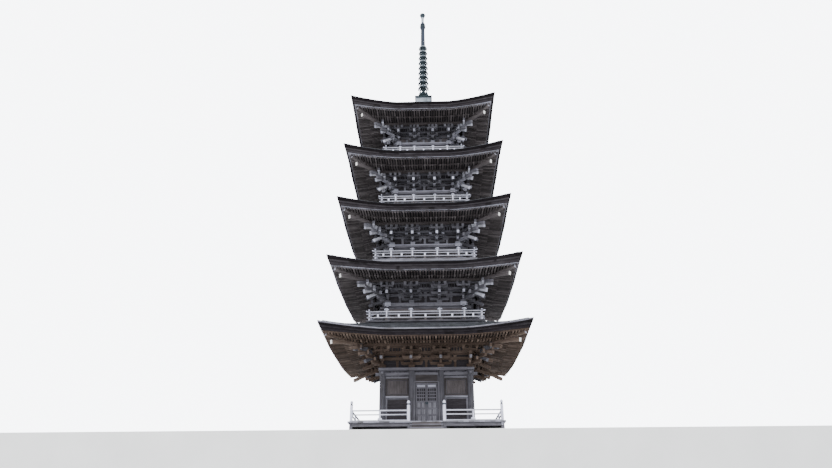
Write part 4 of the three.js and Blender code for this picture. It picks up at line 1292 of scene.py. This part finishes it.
def addGroundFrame(look):
    columnLine, doors, radius = take(storeySizes[0], "columnLine doorColumn columnRadius")
    inner, sill, doorTop, face, foot = take(look, "jambInner sillTop doorTop doorFace columnFoot")
    back, lip, wall = look["sillInner"], look["sillOuter"], look["wallOuter"] + 0.0003
    low, high = look["tie"]
    work, side = startWork(), startWork()
    sweepRound(work, [(back, 0.44), (back, 0.54), (wall, 0.54), (wall, 0.60), (lip, 0.60), (lip, 0.44)],
               grey, tone=0.4)
    sweepRound(work,
               [(wall, 0.60), (wall, sill), (lip + 0.005, sill), (lip + 0.005, 0.602), (lip + 0.001, 0.60)],
               grey, tone=0.85)
    column, pad = columnShape(radius), turnedShape(look["pad"], 24)
    for x in (-columnLine, -doors, doors):
        stamp(side, column, grey, move((x, -columnLine, foot)), (1, 1, look["columnLength"]), tone=0.2)
        stamp(side, pad, stone, move((x, -columnLine, 0)), tone=0.7)
    addBeam(side, columnLine + radius + 0.17, look["tieLine"], (low + high) / 2, look["tieWidth"],
            high - low - 0.002, grey, grey, tone=0.7)
    addBeam(side, *take(look, "plateHalf plateLine plateMiddle plateWidth plateDepth"), grey, grey,
            tone=0.65)
    pour(work, side)
    # door casing on the front: jambs and lintel, with a raised inner edge
    edge = (-face - 0.012, -face + 0.01)
    for lean in (-1, 1):
        addBox(work, onSide(lean, inner, doors), (-face, -wall), (sill - 0.005, low + 0.01), grey, 2,
               tone=0.15)
        addBox(work, onSide(lean, inner + 0.045, inner + 0.075), edge, (sill, doorTop + 0.06), grey, 2,
               tone=0.9)
    # the face over the doors is the darkest brown, painted shadow under the lintel's edge
    addBox(work, around(0, inner + 0.001), (-face + 0.001, -wall), (doorTop, low + 0.01), brown, tone=0.1)
    addBox(work, around(0, inner + 0.075), edge, (doorTop + 0.03, doorTop + 0.06), grey, tone=0.7)
    finishPiece(work, "groundFrame", "storey_1_frame")


def onWall(look, depth):
    # from this far in front of the wall to just behind its face
    return -look["wallOuter"] - depth, -look["wallOuter"] + 0.002


def addOuterBay(work, lean, look):
    # rails over the wall, a framed shutter of four boards above and a boarded panel below
    columnLine, doors, radius = take(storeySizes[0], "columnLine doorColumn columnRadius")
    waist, head, width, edge, rows = take(look, "waist head shutterFrame shutterEdge panelBoards")
    left, right = onSide(lean, doors + radius + 0.005, columnLine - radius - 0.005)
    inside = (left + width, right - width)
    for span, finish, tone in ((waist, silver, 0.4), (head, grey, 0.8)):
        addSoftBox(work, (left, right), onWall(look, 0.07), span, 0.006, finish, segments=1, tone=tone)
    low, high = waist[1] + 0.001, head[0] - 0.001
    # the shutter's frame is dark brown, painted shade under the head rail
    addFrame(work, (left, right), onWall(look, 0.046), (low, high), width, brown, tone=0.2)
    low, high = low + width, high - width
    addFrame(work, inside, onWall(look, 0.03), (low, high), edge, grey, tone=0.3)
    addPlanks(work, (inside[0] + edge, inside[1] - edge), onWall(look, 0.012), (low + edge, high - edge),
              0.15, brown, tone=0.55)
    low, high = look["sillTop"] + 0.002, waist[0] - 0.002
    for stile in ((left, inside[0]), (inside[1], right)):
        addBox(work, stile, onWall(look, 0.04), (low, high), grey, 2, tone=0.75)
    step = (high - low) / rows
    # the boarded panel below is dark timber, partly painted shade under the waist rail
    for index in range(rows):
        addBox(work, inside, onWall(look, 0.016 - random.uniform(-0.002, 0.002)),
               (low + index * step + 0.002, low + (index + 1) * step - 0.002), darkShade, tone=0.9)
    addBox(work, inside, onWall(look, 0.03), (high - 0.05, high), grey, tone=0.6)


def addLeaf(work, left, right, face, low, high, back, look=leafLook):
    # door leaf with its frame, lattice above and panels below
    stile, rail, rails = take(look, "stile rail rails")
    plate, middle, inside = face + look["plate"], (left + right) / 2, (left + stile, right - stile)
    # the backing plate seen through the lattice is dark timber, painted shade inside the door
    addBox(work, (left, right), (plate, back), (low, high), darkShade, 2, tone=0.6)
    for x in ((left, inside[0]), (inside[1], right)):
        addBox(work, x, (face, plate + 0.001), (low, high), grey, 2, tone=0.5)
    levels = [(low, low + rail)] + [(low + bottom, low + top) for bottom, top in rails]
    panels = [(lower[1], upper[0]) for lower, upper in zip(levels, levels[1:])]
    for bottom, top in levels + [(high - lower, high - upper) for lower, upper in look["upperRails"]]:
        addBox(work, inside, (face + 0.0015, plate + 0.001), (bottom, top), grey, tone=0.6)
    addBox(work, around(middle, 0.02), (face + 0.003, plate + 0.001), (low + rail, levels[-1][0]), grey, 2,
           tone=0.5)
    for bottom, top in panels:
        for x in ((inside[0] + 0.006, middle - 0.026), (middle + 0.026, inside[1] - 0.006)):
            addSoftBox(work, x, (face + 0.010, plate + 0.004), (bottom + 0.006, top - 0.006), 0.007, grey,
                       2, 1, random.uniform(0.85, 1.0))
    addSoftBox(work, (inside[0] + 0.004, inside[1] - 0.004), (face + 0.010, plate + 0.004),
               (high - 0.157, high - 0.073), 0.006, silver, segments=1, tone=0.9)
    bottom, top, count = levels[-1][1], high - look["upperRails"][0][0], look["crossings"]
    for index in range(1, count):
        z = bottom + (top - bottom) * index / count
        addBox(work, inside, (face + 0.008, plate + 0.001), around(z, 0.013), grey, tone=0.8)
    for index in range(1, count):
        x = inside[0] + (inside[1] - inside[0]) * index / count
        addBox(work, around(x, 0.010), (face + 0.012, plate + 0.001), (bottom, top), grey, 2, tone=0.9)


def addClosedDoors(work, look):
    inner, doorTop, sill, head = take(look, "jambInner doorTop sillTop head")
    outer = storeySizes[0]["doorColumn"] - 0.10
    for lean in (-1, 1):
        addBox(work, onSide(lean, inner - 0.001, outer), onWall(look, 0.055), (sill + 0.002, head[0]), grey,
               2, tone=0.8)
        face, back = onWall(look, 0.045)
        addLeaf(work, *onSide(lean, 0.004, inner), face, sill + 0.005, doorTop - 0.005, back)
    addBox(work, (-inner, inner), onWall(look, 0.055), (doorTop, head[0]), grey, tone=0.7)
    addSoftBox(work, (-outer, outer), onWall(look, 0.07), head, 0.006, silver, segments=1, tone=0.7)


def addWalls(look):
    # each wall's name, node, quarter turns, span, the bays it fills and its lower edge
    wall, inner, jamb, floor = take(look, "wallOuter wallInner jambInner floorTop")
    for name, node, turns, span, bays, bottom in (
            ("frontWallLeft", "front_wall_left", 0, (-inner, -jamb), (-1,), floor),
            ("frontWallRight", "front_wall_right", 0, (jamb, inner), (1,), floor),
            ("frontWallHead", "front_wall_head", 0, (-jamb, jamb), (), look["doorTop"]),
            ("rightWall", "right_wall", 1, (-wall, wall), (-1, 1), floor),
            ("leftWall", "left_wall", -1, (-wall, wall), (-1, 1), floor),
            ("backWall", "back_wall", 2, (-inner, inner), (-1, 1), floor)):
        work = startWork()
        addPlanks(work, span, (-wall + 0.001, -inner), (bottom, look["plateBottom"]), look["plank"], grey)
        for lean in bays:
            addOuterBay(work, lean, look)
        if len(bays) == 2:
            addClosedDoors(work, look)
        bmesh.ops.rotate(work, cent=(0, 0, 0), matrix=Matrix.Rotation(turns * quarter, 3, "Z"),
                         verts=work.verts[:])
        finishPiece(work, name, node)


def layBoards(work, half, width, z, finish):
    y = -half
    while y < half - 0.01:
        addBox(work, (-half, half), (y + 0.001, y + min(width, half - y) - 0.001), z, finish)
        y += width


def addRoomInside(look):
    wall, base, low, half = take(look, "wallOuter floorTop plateBottom ceilingHalf")
    clear, work = look["wallInner"] - 0.01, startWork()
    sweepRound(work, [(clear, base - 0.07), (clear, base), (wall, base), (wall, base - 0.07)], grey)
    layBoards(work, clear, 0.2, (base - 0.07, base + 0.005), grey)
    finishPiece(work, "roomFloor", "room_floor")
    work = startWork()
    layBoards(work, half, 0.22, (low + 0.012, low + 0.04), brown)
    for x in (-1.2, -0.6, 0, 0.6, 1.2):
        addBox(work, around(x, 0.02), (-half, half), (low, low + 0.013), grey, 1)
    finishPiece(work, "roomCeiling", "room_ceiling")


def ringShape(inner, outer, steps, half=0.003):
    return turnedShape([(inner, -half), (outer, -half), (outer, half), (inner, half), (inner, -half)],
                       steps)


def addDoor(name, node, lean, look):
    low, high, face, back = take(look, "low high face back")
    left, right = onSide(lean, look["meeting"], look["edge"])
    work = startWork()
    addLeaf(work, left, right, face, low, high, back - 0.010)
    # back of the leaf: boards and two battens
    addPlanks(work, (left + 0.001, right - 0.001), (back - 0.0101, back - 0.0075),
              (low + 0.001, high - 0.001), 0.14, grey)
    for z in (low + 0.25, high - 0.25):
        addBox(work, (left + 0.02, right - 0.02), (back - 0.009, back), around(z, 0.035), grey)
    pin = columnShape(look["pinRadius"])
    for bottom, top in ((low - 0.0297, low + 0.02), (high - 0.02, high + 0.0297)):
        stamp(work, pin, bronze, move((lean * look["pinX"], look["pinY"], bottom)), (1, 1, top - bottom))
    # ring pull by the meeting stile
    x = lean * look["pullX"]
    addSoftBox(work, around(x, 0.016), (face - 0.006, face + 0.002), look["pull"], 0.002, bronze,
               segments=1)
    stampOnce(work, ringShape(0.026, 0.032, 20), bronze,
              move((x, face - 0.0095, look["ringTop"])) @ turned(quarter, "X"))
    finishPiece(work, name, node, body=node + "_leaf")


addGroundFrame(groundLook)
addWalls(groundLook)
addRoomInside(groundLook)
addDoor("leftDoor", "left_door", -1, doorLook)
addDoor("rightDoor", "right_door", 1, doorLook)
print("ground storey built")

# Spire: dew basin, lotus bowl, mast with nine rings and their bells, jewel
spireLook = dict(basinBottom=17.06, basinTop=17.76, rings=9, lowest=18.63, highest=21.46, widest=0.300,
                 narrowest=0.248, ringShare=0.82, bandHeight=0.062, bandDepth=0.022, bandLip=0.006,
                 spokes=8, bellHeight=0.150, bellRadius=0.040, bellShrink=0.15, petals=12, petalHalf=0.098,
                 petalThickness=0.007,
                 bowl=((0, 0), (0.250, 0), (0.250, 0.028), (0.238, 0.034), (0.240, 0.060), (0.230, 0.115),
                       (0.205, 0.165), (0.175, 0.212), (0.150, 0.236), (0.148, 0.246), (0.130, 0.252),
                       (0.130, 0.268), (0.165, 0.300), (0.190, 0.322), (0.150, 0.340), (0.150, 0.450),
                       (0, 0.450)),
                 shaft=((0, 21.60), (0.118, 21.60), (0.124, 21.66), (0.118, 22.10), (0.112, 22.60),
                        (0.106, 22.90), (0.120, 22.93), (0.148, 22.95), (0, 22.95)),
                 collar=((0, 22.95), (0.148, 22.95), (0.160, 23.00), (0.160, 23.07), (0.148, 23.10),
                         (0, 23.10)),
                 bulb=((0, 23.10), (0.152, 23.14), (0.148, 23.19), (0.128, 23.27), (0.098, 23.33),
                       (0, 23.33)),
                 neck=((0, 23.33), (0.074, 23.37), (0.080, 23.56), (0.078, 23.66), (0.072, 23.76),
                       (0.072, 23.85), (0, 23.85)),
                 seat=((0, 23.75), (0.100, 23.76), (0.105, 23.8499), (0, 23.8499)),
                 bell=((0, 0), (0.6, 0), (1.0, -0.12), (0.8, -0.3), (0.7, -0.7), (0.95, -1.0), (0, -0.92)),
                 jewel=((0, 23.85), (0.090, 23.85), (0.122, 23.866), (0.146, 23.895), (0.156, 23.925),
                        (0.158, 23.950), (0.150, 23.982), (0.130, 24.015), (0.098, 24.045), (0.062, 24.068),
                        (0.028, 24.085), (0.008, 24.100), (0, 24.11)))


def addBasin(look):
    low, top = look["basinBottom"], look["basinTop"]
    work, side = startWork(), startWork()
    sweepRound(work,
               [(0.02, low), (0.470, low), (0.470, low + 0.075), (0.455, low + 0.092), (0.418, low + 0.120),
                (0.405, low + 0.130), (0.405, top - 0.115), (0.418, top - 0.100), (0.02, top - 0.100)],
               basinBronze)
    sweepRound(work,
               [(0.02, top - 0.100), (0.418, top - 0.0999), (0.440, top - 0.078), (0.455, top - 0.070),
                (0.455, top), (0.02, top)], bronze)
    for x in (-0.27, 0, 0.27):
        addFrame(side, around(x, 0.115), (-0.4135, -0.400), (low + 0.185, top - 0.155), 0.018, basinBronze)
    finishSides(side, "dewBasin", "dew_basin", work)


def makePetal(look, base):
    # a leaf that narrows and droops towards its tip, and cups upwards across
    petal = startWork()
    bmesh.ops.create_grid(petal, x_segments=6, y_segments=4, size=0.5)
    for vert in petal.verts:
        out, across = vert.co.x + 0.5, vert.co.y * 2
        width = look["petalHalf"] * (1 - 0.88 * max(0, out - 0.35) ** 1.6 / 0.65 ** 1.6)
        radius = 0.13 + 0.160 * out - 0.012 * across * across
        rise, droop = 0.178 * out ** 1.5, 0.05 * max(0, out - 0.75) / 0.25
        height = 0.268 + rise - droop + 0.018 * across * across * (1 - out)
        vert.co = (radius, across * width, base + height)
    bmesh.ops.recalc_face_normals(petal, faces=petal.faces[:])
    bmesh.ops.solidify(petal, geom=petal.faces[:], thickness=look["petalThickness"])
    bmesh.ops.recalc_face_normals(petal, faces=petal.faces[:])
    return keepShape(petal, 0)


def addBowl(look):
    top, work = look["basinTop"], startWork()
    addTurned(work, [(radius, top + height) for radius, height in look["bowl"]], 32, bronze)
    petal = makePetal(look, top)
    for index in range(look["petals"]):
        for shift, scale in ((0, 1), (0.5, 0.9)):
            place = move((0, 0, -0.008 * shift)) @ turned((index + shift) * math.tau / look["petals"])
            stamp(work, petal, bronze, place, (scale, scale, 1))
    finishPiece(work, "lotusBowl", "lotus_bowl", smoothAngle=50)


def addRing(work, share, z, hook, bell, look):
    # the ring, its spokes from the hub, the arms past it and the bells that hang from them
    reach = look["widest"] + share * (look["narrowest"] - look["widest"]) - 0.002
    radius, half, lip = reach * look["ringShare"], look["bandHeight"] / 2, look["bandLip"]
    inner, armEnd = radius - look["bandDepth"], reach - look["bellRadius"]
    shrink = 1 - look["bellShrink"] * share
    bellRadius, bellHeight = look["bellRadius"] * shrink, look["bellHeight"] * shrink
    bars = ((0.09, -0.012, inner + 0.004, 0.006, 0.050, 0.060),
            (radius - 0.004, 0, armEnd + 0.006, 0.012, 0.030, 0.034))
    band = [(inner, z - half), (radius, z - half), (radius, z - half + 0.014),
            (radius - lip, z - half + 0.018), (radius - lip, z + half - 0.018), (radius, z + half - 0.014),
            (radius, z + half), (inner, z + half), (inner, z - half)]
    # the band is pale basin bronze: weathered verdigris with a painted highlight for its sky-lit rim, against
    # the darker bronze of the spokes and hub
    addTurned(work, band, 40, basinBronze)
    for spoke in range(look["spokes"]):
        turn = turned(spoke * math.tau / look["spokes"])
        for start, startRise, end, endRise, width, depth in bars:
            addBar(work, turn @ Vector((start, 0, z + startRise)), turn @ Vector((end, 0, z + endRise)),
                   width, depth, bronze)
        spot = turn @ move((armEnd, 0, z - 0.012))
        stamp(work, hook, bronze, spot @ turned(quarter, "X"))
        stamp(work, bell, bronze, spot @ move((0, 0, -0.012)), (bellRadius, bellRadius, bellHeight))


def addMast(look):
    work, base, rings = startWork(), look["basinTop"] + look["bowl"][-1][1], look["rings"]
    shares = [index / (rings - 1) for index in range(rings)]
    levels = [look["lowest"] + index * (look["highest"] - look["lowest"]) / (rings - 1)
              for index in range(rings)]
    points = [(0, base), (0.108, base), (0.108, base + 0.05), (0.088, base + 0.07)]
    for z in levels:
        points += [(0.094, z - 0.095), (0.140, z - 0.080), (0.150, z - 0.01), (0.135, z + 0.062),
                   (0.094, z + 0.075)]
    shaft, collar, bulb, neck, seat = take(look, "shaft collar bulb neck seat")
    hubs = points + [(0.094, shaft[0][1]), shaft[0]]
    for profile, finish in ((hubs, bronze), (shaft, shaftBronze), (collar, bronze), (bulb, shaftBronze),
                            (neck, basinBronze), (seat, bronze)):
        addTurned(work, profile, 20, finish)
    bell, hook = turnedShape(look["bell"], 8), ringShape(0.010, 0.016, 8)
    for share, z in zip(shares, levels):
        addRing(work, share, z, hook, bell, look)
    finishPiece(work, "ringedMast", "ringed_mast")


def addJewel(look):
    work = startWork()
    addTurned(work, look["jewel"], 32, bronze)
    finishPiece(work, "jewel", "jewel", smoothAngle=60)


addBasin(spireLook)
addBowl(spireLook)
addMast(spireLook)
addJewel(spireLook)
print("spire set")

# Floor and light
stageLook = dict(
    terraceFront=-5.3, terraceReach=60.0, lowerFloor=-3.4, skyColour=(0.93, 0.955, 1.0), skyStrength=3.0,
    seenStrength=8.0, aim=(0, 0, 9), lamps=asTable(
        "name place size power colour",
        ("frontLight", (-14, -26, 30), 22, 9000, (1, 0.985, 0.96)),
        ("sideLight", (26, -8, 20), 20, 2200, (0.95, 0.98, 1)),
        ("backLight", (4, 28, 26), 22, 2600, (1, 1, 1))))


def addFloors(look):
    ground = makeGround()
    reach, front, low = take(look, "terraceReach terraceFront lowerFloor")
    wide = around(0, reach * 2)
    for name, *spans in (("terrace", around(0, reach), (front, reach), (low, 0.0)),
                         ("lowerFloor", wide, wide, (low - 0.5, low))):
        place, size = boxPlace(*spans)
        slab, mesh = bmesh.new(), bpy.data.meshes.new(name)
        bmesh.ops.create_cube(slab, size=1, matrix=place @ Matrix.Diagonal((*size, 1)))
        slab.to_mesh(mesh)
        slab.free()
        mesh.materials.append(ground)
        linkObject(name, mesh)


def addSky(look):
    # the sky lights the scene softly, and is seen as plain white behind it
    world = bpy.data.worlds.new("softSky")
    world.use_nodes = True
    tree = world.node_tree
    sky, seen = tree.nodes["Background"], addNode(tree, "Background")
    for node, strength in ((sky, look["skyStrength"]), (seen, look["seenStrength"])):
        node.inputs["Color"].default_value = (*look["skyColour"], 1)
        node.inputs["Strength"].default_value = strength
    ray = addNode(tree, "LightPath").outputs["Is Camera Ray"]
    mix = addNode(tree, "MixShader", {0: ray, 1: sky.outputs[0], 2: seen.outputs[0]})
    tree.links.new(mix.outputs[0], tree.nodes["World Output"].inputs["Surface"])
    bpy.context.scene.world = world


def addLamps(look):
    for lamp in look["lamps"]:
        light = bpy.data.lights.new(lamp["name"], "AREA")
        light.shape, light.size, light.energy, light.color = "DISK", *take(lamp, "size power colour")
        place = Vector(lamp["place"])
        aim = (Vector(look["aim"]) - place).to_track_quat("-Z", "Y")
        linkObject(lamp["name"], light).matrix_world = move(place) @ aim.to_matrix().to_4x4()


addFloors(stageLook)
addSky(stageLook)
addLamps(stageLook)
print("stage and lights set")
